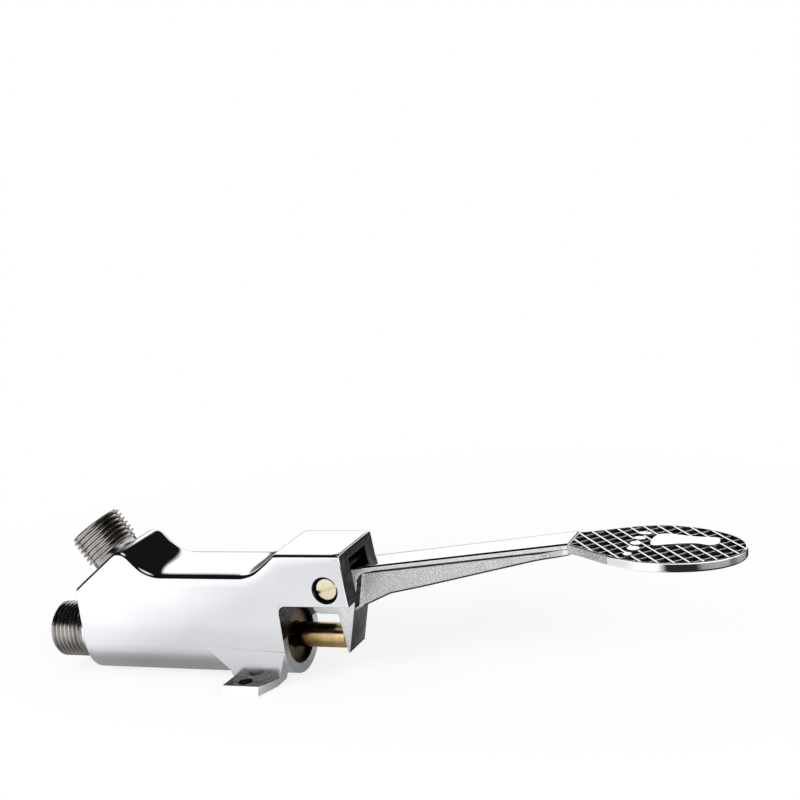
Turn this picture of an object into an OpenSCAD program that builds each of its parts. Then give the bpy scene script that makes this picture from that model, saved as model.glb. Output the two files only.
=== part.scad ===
// Foot pedal tap valve: a cast body with two threaded ports, a spring-closed valve disc on a
// plunger, and a pedal lever whose heel pushes the plunger in when the pedal is pressed.
// Origin: on the floor, midway between the two foot screws. +X towards the pedal, +Z up.

/* [Body] */
// Width of the body, twice the radius of its round underside
body_w = 28; // [26:0.5:32]
// Gap between the barrel's underside and the floor
floor_gap = 0.5; // [0.3:0.1:4]
// Foot screws to the inlet end face
back_l = 68.7; // [66:0.1:80]
// Foot screws to the barrel's mouth
mouth_l = 15.5; // [12:0.1:20]
// Length of the hood beyond the barrel's mouth
hood_l = 27.9; // [26:0.1:32]
// Lean of the hood's end face, in degrees
hood_lean = 4.3; // [0:0.1:8]
// Barrel's mouth to the back edge of the hood's top
hood_back = 1; // [0:0.1:3]
// Height of the hood's top above the barrel axis
hood_h = 34.8; // [34:0.1:40]
// Height of the saddle between boss and hood above the barrel axis
saddle_h = 26.8; // [24:0.1:29]
// Height of the cheeks' lower edge above the barrel axis
cheek_h = 16; // [13:0.1:17]
// Width of the slot between the two cheeks
slot_w = 14; // [12:0.1:16]
// Thickness of the hood over the slot
slot_roof = 3.5; // [2:0.1:4]
// Length of the slot behind the pivot
slot_back = 15; // [14:0.1:16]
// Rounding where the cut-out under the cheeks meets the mouth
cutout_r = 3; // [1:0.1:5]
// Rounding at both ends of the saddle
saddle_r = 14; // [8:0.1:16]
// Slope of the hood's back, in degrees
hood_slope = 36; // [30:1:45]
// Slope of the boss's front, in degrees
boss_slope = 43; // [35:1:50]

/* [Ports] */
// Outer diameter of the pipe thread (half-inch pipe thread)
thread_d = 20.955; // [18:0.001:22]
// Pitch of the pipe thread
thread_pitch = 1.814; // [1.2:0.001:2.2]
// Depth of the pipe thread
thread_depth = 1.162; // [0.6:0.001:1.4]
// Flat width of a thread crest
crest_w = 0.45; // [0.2:0.01:0.6]
// Length of the inlet nipple outside the body
inlet_l = 18.1; // [12:0.1:24]
// Length of the outlet nipple outside the body
outlet_l = 14.8; // [11:0.1:24]
// Plain neck between a nipple's thread and the body
neck_l = 2.2; // [1:0.1:4]
// Bore of both nipples
port_bore = 14; // [12.6:0.1:15]
// Diameter of a nipple's shank inside the body
shank_d = 18; // [17:0.1:18.6]
// Length of a nipple's shank inside the body
shank_l = 4.2; // [3:0.1:5]
// Thickness of the flat seals under the shanks
seal_t = 1.5; // [0.8:0.1:2]
// Height of the outlet boss's ridge above the barrel axis
boss_h = 36; // [34:0.1:40]
// Inlet end face to the outlet boss's ridge
boss_l = 21.7; // [20:0.1:24]
// Tilt of the outlet away from vertical, in degrees
outlet_tilt = 34; // [28:1:38]
// Outlet boss's ridge to the outlet axis, along the sloping face
outlet_in = 11.8; // [11.6:0.1:13.5]
// Diameter of the passage from the valve to the outlet
duct_d = 10; // [7:0.1:11]

/* [Valve] */
// Diameter of the chamber that holds the valve disc
chamber_d = 16.5; // [15.6:0.1:17]
// Wall between the disc's chamber and the outlet passage
seat_wall = 1.6; // [1:0.1:3]
// Thickness of the web that carries the seat ring
seat_web = 3.2; // [2:0.1:4]
// Thickness of the seat ring under its lip
seat_t = 2.2; // [1.5:0.1:3]
// Height of the seat's raised lip
seat_lip = 0.8; // [0.4:0.1:1.2]
// Wall of the seat's raised lip
lip_w = 0.5; // [0.3:0.1:0.6]
// Bore of the seat ring
seat_bore = 11; // [10:0.1:12]
// Diameter of the rubber disc
disc_d = 12.4; // [12.2:0.1:12.6]
// Thickness of the rubber disc
disc_t = 2.5; // [1.8:0.1:3.5]
// Rim of the disc's brass holder
holder_rim = 0.6; // [0.4:0.1:0.7]
// Floor of the disc's brass holder
holder_t = 1.5; // [1:0.1:2]
// Part of the disc that stands out of its holder
disc_proud = 0.7; // [0.4:0.1:1]
// Diameter of the plunger's stem through the disc
stem_d = 5; // [4:0.1:6]
// Diameter of the collar that the disc is clamped against
collar_d = 8; // [7:0.1:8.4]
// Diameter of the disc screw's head
screw_head_d = 7; // [6:0.1:8]
// Thickness of the disc screw's head
screw_head_t = 2.2; // [1.6:0.1:2.6]
// Diameter of the disc screw's thread
screw_d = 3; // [2:0.1:3.5]
// Length of the disc screw's thread in the stem
screw_l = 8; // [5:0.1:10]
// Diameter of the washer under the disc screw
washer_d = 9; // [8.4:0.1:9.4]
// Thickness of the washer under the disc screw
washer_t = 0.8; // [0.5:0.1:1.2]
// Wire of the return spring
spring_wire = 1.2; // [0.8:0.1:1.3]
// Outer diameter of the return spring
spring_d = 12.2; // [12:0.1:12.4]
// Turns of the return spring
spring_turns = 6; // [5:1:7]
// Gap between the closed turns at the ends of the return spring
spring_end_gap = 0.48; // [0.42:0.01:0.6]
// Depth of the spring's pocket in the inlet nipple, from its inner end
spring_pocket = 9; // [7:0.1:12]
// Bore of the inlet nipple outside the spring's pocket
inlet_bore = 10.5; // [9:0.1:11]

/* [Gland] */
// Diameter of the plunger
plunger_d = 9; // [8.6:0.1:9.4]
// Bore of the barrel at its mouth
gland_d = 20.2; // [19:0.1:22]
// Bore of the barrel behind the gland sleeve
passage_d = 15; // [13:0.1:16]
// Depth of the lock ring behind the barrel's mouth
nut_in = 2; // [0.5:0.1:4]
// Thickness of the lock ring
nut_t = 5; // [3.5:0.1:7]
// Width of the lock ring's spanner slots
nut_slot_w = 3; // [2:0.1:4]
// Depth of the lock ring's spanner slots
nut_slot_t = 1.6; // [1:0.1:2.5]
// Thickness of the washer behind the lock ring
gland_washer_t = 1; // [0.6:0.1:2]
// Length of the gland sleeve
sleeve_l = 30; // [26:0.1:34]
// Thickness of the rubber rings' section
ring_t = 1.9; // [1.5:0.1:2.2]
// Width of the rubber rings' grooves
groove_w = 2.5; // [2.4:0.1:3]
// Distance of the rubber rings from the ends of the sleeve
ring_in = 6; // [4:0.1:9]

/* [Foot] */
// Distance between the two foot screws
foot_span = 36; // [34:0.1:40]
// Diameter of the foot screw holes
foot_hole = 5; // [4:0.1:6]
// Diameter of the flat round each foot screw
foot_spot = 9; // [7.5:0.1:10]
// Length of a foot's tip beyond its screw
foot_tip = 5.2; // [4.5:0.1:8]
// Width of a foot's tip
foot_tip_w = 15; // [12:0.1:18]
// Width of the feet at the middle of the barrel
foot_root_w = 24; // [18:0.1:26]
// Thickness of a foot at its tip
foot_t = 3.2; // [2.5:0.1:4]
// Height at which the feet meet the barrel's sides
foot_rise = 11; // [9:0.1:12]

/* [Lever] */
// Hood's end to the pivot
pivot_in = 8.4; // [7:0.1:10]
// Height of the pivot above the barrel axis
pivot_h = 22.1; // [21:0.1:24]
// Diameter of the pivot screw's shank
pin_d = 6.5; // [5:0.1:7]
// Diameter of the pivot screw's head
pin_head_d = 8.2; // [7.6:0.1:9]
// Thickness of the pivot screw's head
pin_head_t = 2.4; // [1.8:0.1:3]
// Depth of the pivot screw's head below the body's side
pin_in = 1.2; // [0.4:0.1:1.6]
// Width of the screwdriver slot
pin_slot_w = 1.2; // [0.8:0.1:1.6]
// Turn of the pivot screw's slot, in degrees
pin_slot_turn = 18; // [0:1:90]
// Gap round the pivot screw's head
head_gap = 0.6; // [0.2:0.1:0.8]
// Wall left in the far cheek behind the pivot screw
pin_wall = 2; // [1:0.1:3]
// Radius of the lever's hub
hub_r = 8; // [7:0.1:8.6]
// Length of the hub's block behind the pivot
block_l = 9.8; // [8:0.1:10.5]
// Depth of the hub's block below the pivot
block_h = 11.6; // [10:0.1:12.5]
// Rounding of the hub's block
block_r = 3; // [1:0.1:4]
// Forward offset of the heel's back face from the pivot, at the plunger axis
heel_x = 1.3; // [0.8:0.1:2]
// Slope of the heel's back face, in degrees
heel_back = 7.2; // [5:0.1:9]
// Slope of the heel's front face, in degrees
heel_front = 14.2; // [12:0.1:17]
// Thickness of the heel at the plunger axis
heel_t = 2; // [1.5:0.1:3]
// Length of the heel past the plunger axis
heel_over = 4.1; // [2:0.1:5]
// Reach of the fillet between the heel's front face and the arm
heel_fillet = 4.5; // [2:0.1:6]
// Pivot to the root of the pedal plate
arm_l = 87; // [70:0.5:110]
// Height of the arm's top over the pivot, at the pivot
arm_top = 4.7; // [3:0.1:5.5]
// Rise of the arm, in degrees
arm_rise = 6.6; // [3:0.1:10]
// Width of the arm's top flange at the pedal
arm_w = 13.9; // [12:0.1:20]
// Thickness of the arm's top flange
flange_t = 2.1; // [1.5:0.1:4]
// Thickness of the arm's web
web_t = 9; // [4:0.1:11]
// Depth of the web's root on the heel below the pivot
web_root = 13; // [11:0.1:16]
// Depth of the arm at its knee, forward of the heel
knee_h = 11.9; // [9:0.1:14]
// Pivot to the arm's knee
knee_l = 21; // [17:0.1:30]
// Depth of the arm at the pedal
web_end = 4.2; // [3:0.1:6]

/* [Pedal] */
// Length of the pedal plate
pedal_l = 57.2; // [45:0.1:80]
// Width of the pedal plate
pedal_w = 36.5; // [28:0.1:60]
// Inset of the pedal plate's root from each side of the arm
root_in = 0.3; // [0.1:0.1:0.6]
// Thickness of the pedal plate
pedal_t = 3.3; // [2.5:0.1:6]
// Root of the pedal plate to its widest place
pedal_wide = 29.2; // [24:0.1:40]
// Downward tilt of the pedal plate, in degrees
pedal_tilt = 3.4; // [0:0.1:8]
// Step down from the arm's top to the pedal plate
pedal_drop = 0.5; // [0.2:0.1:1]
// Softness of the flare from the arm to the pedal plate's full width
pedal_flare = 1.3; // [1:0.1:1.6]
// Depth of the tread's hollows between its ridges
tread_depth = 0.8; // [0.4:0.1:1.4]
// Distance between the tread's main ridges
ridge_pitch = 8.4; // [6:0.1:12]
// Width of the tread's main ridges
ridge_w = 1.2; // [0.6:0.1:2]
// Turn of the ridges from the pedal's length, in degrees
ridge_turn = 48; // [35:1:55]
// Root of the pedal plate to the ball of the sole figure
ball_x = 31; // [26:0.1:36]
// Width of the sole figure at its ball
ball_d = 11.6; // [8:0.1:16]
// Ball of the sole figure to its heel
sole_l = 13; // [10:0.1:16]
// Width of the sole figure at its heel
sole_heel_d = 7.4; // [5:0.1:10]
// Sideways offset of the sole figure from the pedal's middle
sole_y = 3.4; // [0:0.1:5]
// Plain strip between the arm and the tread
tread_in = 1.5; // [1:0.1:3]
// Lap of the pedal plate's root inside the arm
root_lap = 1.5; // [1:0.1:2]

/* [Fits] */
// Radial clearance of fits and running shafts
fit = 0.05; // [0.02:0.01:0.08]
// Gap between faces that move past each other
side_gap = 0.35; // [0.25:0.01:0.5]
// Play between the heel and the plunger
play = 0.3; // [0.2:0.01:0.5]
// Gap between the closed disc and the seat
seat_gap = 0.1; // [0.05:0.01:0.2]

/* [Hidden] */
$fn = 64;

// Overshoot of a cut past the face that it opens
cut = 1;
// Steps along an arc of an outline
arc_steps = 10;

// Places along the body, on X
body_r = body_w / 2;
axis_z = body_r + floor_gap;
back_x = -back_l;
mouth_x = mouth_l;
hood_x = mouth_x + hood_l;
hood_z = axis_z + hood_h;
saddle_z = axis_z + saddle_h;
cheek_z = axis_z + cheek_h;
pivot_x = hood_x - pivot_in;
pivot_z = axis_z + pivot_h;

// Outlet boss: its ridge, and the centre of its sloping face
ridge_x = back_x + boss_l;
ridge_z = axis_z + boss_h;
boss_edge_z = ridge_z - boss_l * tan(outlet_tilt);
port_x = ridge_x - outlet_in * cos(outlet_tilt);
port_z = ridge_z - outlet_in * sin(outlet_tilt);
port_drop = (port_z - axis_z) / cos(outlet_tilt);

// Valve places along the barrel axis
shank_end_x = back_x + shank_l;
chamber_x = shank_end_x + seal_t;
duct_side_x = port_x + (port_z - axis_z - chamber_d / 2) * tan(outlet_tilt)
    - duct_d / 2 / cos(outlet_tilt);
seat_x = duct_side_x - seat_wall;
passage_x = seat_x + seat_web;
lip_x = seat_x - seat_t - seat_lip;
disc_x = lip_x - seat_gap;
holder_x = disc_x - disc_t - holder_t;
holder_d = disc_d + 2 * (fit + holder_rim);
lip_d = seat_bore + 2 * lip_w;
pocket_x = shank_end_x - spring_pocket;
spring_l = holder_x - pocket_x;

// Gland places along the barrel axis
nut_x = mouth_x - nut_in - nut_t;
gland_washer_x = nut_x - gland_washer_t;
sleeve_x = gland_washer_x - sleeve_l;
ring_front_x = gland_washer_x - ring_in;
ring_rear_x = sleeve_x + ring_in;
stem_ring_r = plunger_d / 2 + fit + ring_t / 2;
sleeve_ring_r = gland_d / 2 - fit - ring_t / 2;
groove_t = ring_t + fit;

// Plunger: the tip is a dome that rests on the heel's back face
tip_x = pivot_x + heel_x - play;
tip_r = plunger_d;

// Lever
hub_w = slot_w - 2 * side_gap;
heel_low = pivot_h + heel_over;
function heel_back_x(z) = heel_x - (z + pivot_h) * tan(heel_back);
function heel_front_x(z) = heel_x + heel_t + (z + pivot_h) * tan(heel_front);
function arm_top_z(x) = arm_top + x * tan(arm_rise);

// Feet
foot_y = foot_span / 2;
tip_y = foot_y + foot_tip;

// Points of an arc about [x, z] from angle a to angle b
function arc(x, z, r, a, b) = [for (i = [0:arc_steps]) let (t = a + (b - a) * i / arc_steps)
    [x + r * cos(t), z + r * sin(t)]];

// Points of a curve from p to r that leans towards q
function bend(p, q, r) = [for (i = [0:arc_steps]) let (t = i / arc_steps)
    p * (1 - t) * (1 - t) + q * 2 * t * (1 - t) + r * t * t];

// A side outline, drawn in X and Z, made w wide about the middle
module side(w) { rotate([90, 0, 0]) linear_extrude(w, center = true) children(); }

// Turns children from along Z to along X, on the barrel axis, starting at x
module on_axis(x) { translate([x, 0, axis_z]) rotate([0, 90, 0]) children(); }

// Turns children from along Z to along the outlet axis, starting on the boss's face
module on_outlet() { translate([port_x, 0, port_z]) rotate([0, -outlet_tilt, 0]) children(); }

module rod(d, l) { cylinder(d = d, h = l); }

module tube(d, bore, l) {
    difference() {
        rod(d, l);
        translate([0, 0, -cut]) rod(bore, l + 2 * cut);
    }
}

module rubber_ring(r) { rotate_extrude() translate([r, 0]) circle(d = ring_t, $fn = 24); }

// Side outline of the body, from the inlet end round over the boss, saddle and hood
module body_outline() {
    boss_arc_x = ridge_x + (ridge_z - saddle_z - saddle_r * (1 - cos(boss_slope))) / tan(boss_slope)
        + saddle_r * sin(boss_slope);
    hood_top_x = mouth_x + hood_back;
    hood_arc_x = hood_top_x - (hood_z - saddle_z - saddle_r * (1 - cos(hood_slope))) / tan(hood_slope)
        - saddle_r * sin(hood_slope);
    polygon(concat(
        [[back_x, 0], [back_x, boss_edge_z], [ridge_x, ridge_z]],
        arc(boss_arc_x, saddle_z + saddle_r, saddle_r, 270 - boss_slope, 270),
        arc(hood_arc_x, saddle_z + saddle_r, saddle_r, 270, 270 + hood_slope),
        [
            [hood_top_x, hood_z], [hood_x - (hood_z - cheek_z) * tan(hood_lean), hood_z],
            [hood_x, cheek_z]
        ],
        arc(mouth_x + cutout_r, cheek_z - cutout_r, cutout_r, 90, 180),
        [[mouth_x, 0]]
    ));
}

// Cross-section of the body: flat sides over a half-round underside
module body_section() {
    translate([0, axis_z]) circle(r = body_r, $fn = 96);
    translate([-body_r, axis_z]) square([body_w, boss_h + hood_h]);
}

// One foot seen from the front: a thin tip that sweeps up to the barrel's side
module foot_section() {
    inner_y = body_r - foot_t;
    polygon(concat(
        [[0, 0], [tip_y, 0], [tip_y, foot_t]],
        bend([foot_y + foot_spot / 2, foot_t], [body_r, foot_t], [inner_y, foot_rise]),
        [[0, foot_rise]]
    ));
}

module foot() {
    difference() {
        intersection() {
            rotate([90, 0, 90]) linear_extrude(foot_root_w, center = true) foot_section();
            linear_extrude(foot_rise) polygon([
                [-foot_root_w / 2, 0], [-foot_tip_w / 2, tip_y], [foot_tip_w / 2, tip_y],
                [foot_root_w / 2, 0]
            ]);
        }
        translate([0, foot_y, -cut]) rod(foot_hole, foot_t + 2 * cut);
        translate([0, foot_y, foot_t]) rod(foot_spot, foot_rise);
    }
}

module barrel_bores() {
    on_axis(back_x - cut) rod(shank_d + 2 * fit, shank_l + seal_t + cut);
    on_axis(back_x) rod(chamber_d, seat_x - back_x);
    on_axis(back_x) rod(seat_bore, passage_x - back_x + cut);
    on_axis(passage_x) rod(passage_d, sleeve_x - passage_x + cut);
    on_axis(sleeve_x) rod(gland_d, mouth_x - sleeve_x + cut);
}

module outlet_bores() {
    on_outlet() translate([0, 0, -shank_l - seal_t]) rod(shank_d + 2 * fit, shank_l + seal_t + cut);
    on_outlet() translate([0, 0, -port_drop]) rod(duct_d, port_drop);
}

module pivot_bores() {
    translate([pivot_x, -body_r - cut, pivot_z]) rotate([-90, 0, 0]) {
        rod(pin_d + 2 * fit, body_w - pin_wall + cut);
        rod(pin_head_d + 2 * head_gap, pin_in + pin_head_t + cut);
    }
}

module lever_slot() {
    slot_x = pivot_x - slot_back;
    translate([slot_x, -slot_w / 2, cheek_z - cutout_r - cut])
        cube([hood_x - slot_x + cut, slot_w, hood_z - slot_roof - cheek_z + cutout_r + cut]);
}

module valve_body() {
    color("silver") difference() {
        union() {
            intersection() {
                side(body_w) body_outline();
                translate([back_x, 0, 0]) rotate([90, 0, 90])
                    linear_extrude(back_l + hood_x) body_section();
            }
            foot();
            mirror([0, 1, 0]) foot();
        }
        barrel_bores();
        outlet_bores();
        pivot_bores();
        lever_slot();
    }
}

// Outline of a thread's ridges beside its axis, from z = 0 up to l, closed at the radius r
module thread_outline(l, r) {
    turns = floor(l / thread_pitch);
    root_r = thread_d / 2 - thread_depth;
    flank = (thread_pitch - 2 * crest_w) / 2;
    polygon(concat(
        [[r, 0]],
        [for (i = [0:turns - 1]) for (p = [
            [root_r, i * thread_pitch], [root_r, i * thread_pitch + crest_w],
            [thread_d / 2, i * thread_pitch + crest_w + flank],
            [thread_d / 2, i * thread_pitch + 2 * crest_w + flank]
        ]) p],
        [[root_r, turns * thread_pitch], [root_r, l], [r, l]]
    ));
}

// A nipple with its thread outside and its shank inside the body, from z = 0 at the body's face
module nipple(l, bore) {
    neck_d = thread_d - 2 * thread_depth;
    translate([0, 0, neck_l]) rotate_extrude() thread_outline(l - neck_l, bore / 2);
    tube(neck_d, bore, neck_l);
    translate([0, 0, -shank_l]) tube(shank_d, bore, shank_l);
}

module inlet_nipple() {
    color("dimgray") difference() {
        on_axis(back_x) mirror([0, 0, 1]) nipple(inlet_l, inlet_bore);
        on_axis(pocket_x) rod(port_bore, spring_pocket + cut);
    }
}

module outlet_nipple() { color("dimgray") on_outlet() nipple(outlet_l, port_bore); }

module inlet_seal() { color("black") on_axis(shank_end_x) tube(shank_d, port_bore, seal_t); }

module outlet_seal() {
    color("black") on_outlet() translate([0, 0, -shank_l - seal_t]) tube(shank_d, port_bore, seal_t);
}

module seat_ring() {
    color("gold") {
        on_axis(seat_x - seat_t) tube(chamber_d - 2 * fit, seat_bore, seat_t);
        on_axis(lip_x) tube(lip_d, seat_bore, seat_lip);
    }
}

module ring_groove(x, r) { on_axis(x - groove_w / 2) tube(2 * (r + groove_t), 2 * r, groove_w); }

module gland_sleeve() {
    color("goldenrod") difference() {
        on_axis(sleeve_x) tube(gland_d - 2 * fit, plunger_d + 2 * fit, sleeve_l);
        for (x = [ring_front_x, ring_rear_x]) {
            ring_groove(x, plunger_d / 2);
            ring_groove(x, gland_d / 2 - groove_t);
        }
    }
}

module sleeve_ring_front() { color("black") on_axis(ring_front_x) rubber_ring(sleeve_ring_r); }
module sleeve_ring_rear() { color("black") on_axis(ring_rear_x) rubber_ring(sleeve_ring_r); }
module stem_ring_front() { color("black") on_axis(ring_front_x) rubber_ring(stem_ring_r); }
module stem_ring_rear() { color("black") on_axis(ring_rear_x) rubber_ring(stem_ring_r); }

module gland_washer() {
    color("white") on_axis(gland_washer_x)
        tube(gland_d - 2 * fit, plunger_d + 2 * side_gap, gland_washer_t);
}

module gland_nut() {
    color("peru") difference() {
        on_axis(nut_x) tube(gland_d - 2 * fit, plunger_d + 2 * side_gap, nut_t);
        translate([nut_x + nut_t - nut_slot_t, -gland_d / 2, axis_z - nut_slot_w / 2])
            cube([nut_slot_t + cut, gland_d, nut_slot_w]);
    }
}

// The plunger: stem through the disc, collar, then the thick rod through the gland to its dome
module plunger() {
    dome_x = tip_x - tip_r;
    color("darkgoldenrod") difference() {
        union() {
            on_axis(holder_x) rod(stem_d, sleeve_x - holder_x);
            on_axis(disc_x) rod(collar_d, passage_x - disc_x);
            intersection() {
                on_axis(sleeve_x) rod(plunger_d, tip_x - sleeve_x);
                union() {
                    on_axis(sleeve_x) rod(plunger_d, dome_x - sleeve_x);
                    translate([dome_x, 0, axis_z]) sphere(r = tip_r, $fn = 96);
                }
            }
        }
        on_axis(holder_x - cut) rod(screw_d + 2 * fit, screw_l + cut);
    }
}

module valve_disc() { color("black") on_axis(disc_x - disc_t) tube(disc_d, stem_d + 2 * fit, disc_t); }

module disc_holder() {
    color("gold") difference() {
        on_axis(holder_x) tube(holder_d, stem_d + 2 * fit, holder_t + disc_t - disc_proud);
        on_axis(disc_x - disc_t) rod(disc_d + 2 * fit, disc_t);
    }
}

module disc_washer() {
    color("gold") on_axis(holder_x - washer_t) tube(washer_d, screw_d + 2 * fit, washer_t);
}

module disc_screw() {
    head_x = holder_x - washer_t - screw_head_t;
    color("goldenrod") difference() {
        union() {
            on_axis(head_x) rod(screw_head_d, screw_head_t);
            on_axis(head_x) rod(screw_d, screw_head_t + washer_t + screw_l - side_gap);
        }
        translate([head_x - cut, -screw_head_d / 2, axis_z - pin_slot_w / 2])
            cube([screw_head_t / 2 + cut, screw_head_d, pin_slot_w]);
    }
}

// The return spring: one tube along a helix whose first and last turns lie close
spring_sides = 6;
spring_rings = 8 * spring_turns;
spring_r = (spring_d - spring_wire) / 2;
spring_end = spring_wire + spring_end_gap;
function spring_x(u) = let (n = spring_turns, a = 1 / n, free = spring_l - spring_wire - 2 * spring_end)
    spring_wire / 2 + (u < a ? u * n * spring_end
        : u > 1 - a ? spring_end + free + (u - 1 + a) * n * spring_end
        : spring_end + free * (u - a) / (1 - 2 * a));
spring_points = [for (i = [0:spring_rings]) let (u = i / spring_rings, t = 360 * spring_turns * u)
    for (k = [0:spring_sides - 1]) let (q = 360 * k / spring_sides,
        r = spring_r + spring_wire / 2 * cos(q))
        [r * cos(t), r * sin(t), spring_x(u) + spring_wire / 2 * sin(q)]];
spring_last = spring_rings * spring_sides;
spring_faces = concat(
    [[for (k = [0:spring_sides - 1]) k]],
    [for (i = [0:spring_rings - 1]) for (k = [0:spring_sides - 1])
        let (a = i * spring_sides, m = (k + 1) % spring_sides)
        for (f = [
            [a + k, a + spring_sides + k, a + m],
            [a + m, a + spring_sides + k, a + spring_sides + m]
        ]) f],
    [[for (k = [spring_sides - 1:-1:0]) spring_last + k]]
);

module return_spring() { color("lightgray") on_axis(pocket_x) polyhedron(spring_points, spring_faces); }

module pivot_pin() {
    head_y = -body_r + pin_in;
    color("gold") translate([pivot_x, head_y, pivot_z]) rotate([-90, 0, 0]) difference() {
        union() {
            rod(pin_head_d, pin_head_t);
            rod(pin_d, body_w - pin_in - pin_wall - side_gap);
        }
        rotate([0, 0, -pin_slot_turn]) translate([-pin_head_d / 2, -pin_slot_w / 2, -cut])
            cube([pin_head_d, pin_slot_w, pin_head_t / 2 + cut]);
    }
}

// Side outlines of the lever, with the pivot at [0, 0]
module hub_outline() {
    flange_z = arm_top - flange_t;
    corner_x = (heel_x + heel_t + (flange_z + pivot_h) * tan(heel_front))
        / (1 - tan(arm_rise) * tan(heel_front));
    corner = [corner_x, flange_z + corner_x * tan(arm_rise)];
    down = [-sin(heel_front), -cos(heel_front)];
    along = [cos(arm_rise), sin(arm_rise)];
    fillet_end = corner + heel_fillet * along;
    circle(r = hub_r);
    polygon(concat(
        arc(block_r - block_l, block_r, block_r, 90, 180),
        arc(block_r - block_l, block_r - block_h, block_r, 180, 270),
        [
            [heel_back_x(-block_h), -block_h], [heel_back_x(-heel_low), -heel_low],
            [heel_front_x(-heel_low), -heel_low]
        ],
        bend(corner + heel_fillet * down, corner, fillet_end),
        [[fillet_end[0], arm_top_z(fillet_end[0])], [0, arm_top]]
    ));
}

module web_outline() {
    root_z = -web_root;
    polygon([
        [heel_back_x(root_z) + heel_t / 2, root_z], [heel_front_x(root_z), root_z],
        [knee_l, arm_top_z(knee_l) - knee_h], [arm_l, arm_top_z(arm_l) - web_end],
        [arm_l, arm_top_z(arm_l) - flange_t], [0, arm_top - flange_t]
    ]);
}

module flange_outline() {
    polygon([
        [0, arm_top - flange_t], [arm_l, arm_top_z(arm_l) - flange_t], [arm_l, arm_top_z(arm_l)],
        [0, arm_top]
    ]);
}

// Outline of the pedal plate seen from above, from its root at [0, 0]
root_half = arm_w / 2 - root_in;
function pedal_half(x) = x < pedal_wide
    ? root_half + (pedal_w / 2 - root_half) * pow(sin(90 * x / pedal_wide), pedal_flare)
    : pedal_w / 2 * sqrt(max(0, 1 - pow((x - pedal_wide) / (pedal_l - pedal_wide), 2)));
pedal_steps = 24;
pedal_x = concat(
    [for (i = [0:pedal_steps - 1]) pedal_wide * i / pedal_steps],
    [for (i = [0:pedal_steps - 1]) pedal_wide + (pedal_l - pedal_wide) * sin(90 * i / pedal_steps)]
);
pedal_outline = concat(
    [for (x = pedal_x) [x, -pedal_half(x)]],
    [[pedal_l, 0]],
    [for (i = [len(pedal_x) - 1:-1:0]) [pedal_x[i], pedal_half(pedal_x[i])]]
);

// The tread's raised lines in plan: two families of parallel ridges that cross
module tread_ridges() {
    reach = pedal_l + pedal_w;
    rows = ceil(pedal_l / ridge_pitch);
    for (turn = [-ridge_turn, ridge_turn]) rotate(turn)
        for (i = [-rows:rows]) translate([-reach, i * ridge_pitch - ridge_w / 2])
            square([2 * reach, ridge_w]);
}

// The sole figure on the tread in plan, wide at its ball and narrow at its heel
module tread_figure() {
    polygon(concat(
        arc(ball_x, sole_y, ball_d / 2, 90, 270),
        arc(ball_x + sole_l, sole_y, sole_heel_d / 2, -90, 90)
    ));
}

// The pedal plate from its root at [0, 0], with a tongue that laps into the arm
module pedal_plate() {
    tongue_w = arm_w - 2 * root_lap;
    translate([arm_l, 0, arm_top_z(arm_l) - pedal_drop]) rotate([0, pedal_tilt, 0]) difference() {
        translate([0, 0, -pedal_t]) linear_extrude(pedal_t) union() {
            polygon(pedal_outline);
            translate([-root_lap, -tongue_w / 2]) square([2 * root_lap, tongue_w]);
        }
        translate([0, 0, -tread_depth]) linear_extrude(tread_depth + cut) difference() {
            translate([tread_in, -pedal_w / 2 - cut]) square([pedal_l, pedal_w + 2 * cut]);
            tread_ridges();
            tread_figure();
        }
    }
}

module arm() {
    widening_x = pivot_in + arm_w;
    intersection() {
        side(pedal_w) flange_outline();
        linear_extrude(pedal_l + arm_l, center = true) polygon([
            [0, -hub_w / 2], [widening_x, -hub_w / 2], [arm_l, -arm_w / 2],
            [arm_l, arm_w / 2], [widening_x, hub_w / 2], [0, hub_w / 2]
        ]);
    }
    side(web_t) web_outline();
}

module pedal_lever() {
    color("gainsboro") translate([pivot_x, 0, pivot_z]) difference() {
        union() {
            side(hub_w) hub_outline();
            arm();
            pedal_plate();
        }
        translate([0, -hub_w / 2 - cut, 0]) rotate([-90, 0, 0]) rod(pin_d + 2 * fit, hub_w + 2 * cut);
    }
}

valve_body();
inlet_nipple();
inlet_seal();
outlet_nipple();
outlet_seal();
seat_ring();
gland_sleeve();
sleeve_ring_front();
sleeve_ring_rear();
stem_ring_front();
stem_ring_rear();
gland_washer();
gland_nut();
plunger();
valve_disc();
disc_holder();
disc_washer();
disc_screw();
return_spring();
pivot_pin();
pedal_lever();
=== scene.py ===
"""Looks of a foot pedal tap valve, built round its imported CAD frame. Shapes are in millimetres until placed."""

import math

import bmesh
import bpy
from mathutils import Matrix, Vector


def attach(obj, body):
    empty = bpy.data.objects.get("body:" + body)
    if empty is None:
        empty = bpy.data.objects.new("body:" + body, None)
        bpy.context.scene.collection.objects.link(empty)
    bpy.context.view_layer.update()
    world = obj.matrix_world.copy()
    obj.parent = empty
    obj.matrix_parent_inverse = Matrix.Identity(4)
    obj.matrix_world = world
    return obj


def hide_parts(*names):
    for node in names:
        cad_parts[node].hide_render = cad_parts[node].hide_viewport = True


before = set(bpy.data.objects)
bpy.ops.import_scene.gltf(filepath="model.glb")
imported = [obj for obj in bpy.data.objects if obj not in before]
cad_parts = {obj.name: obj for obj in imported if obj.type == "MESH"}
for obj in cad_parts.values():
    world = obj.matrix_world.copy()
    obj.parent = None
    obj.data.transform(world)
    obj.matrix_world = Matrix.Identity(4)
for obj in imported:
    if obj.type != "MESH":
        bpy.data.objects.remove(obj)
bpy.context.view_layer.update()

MM = 0.001

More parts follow.
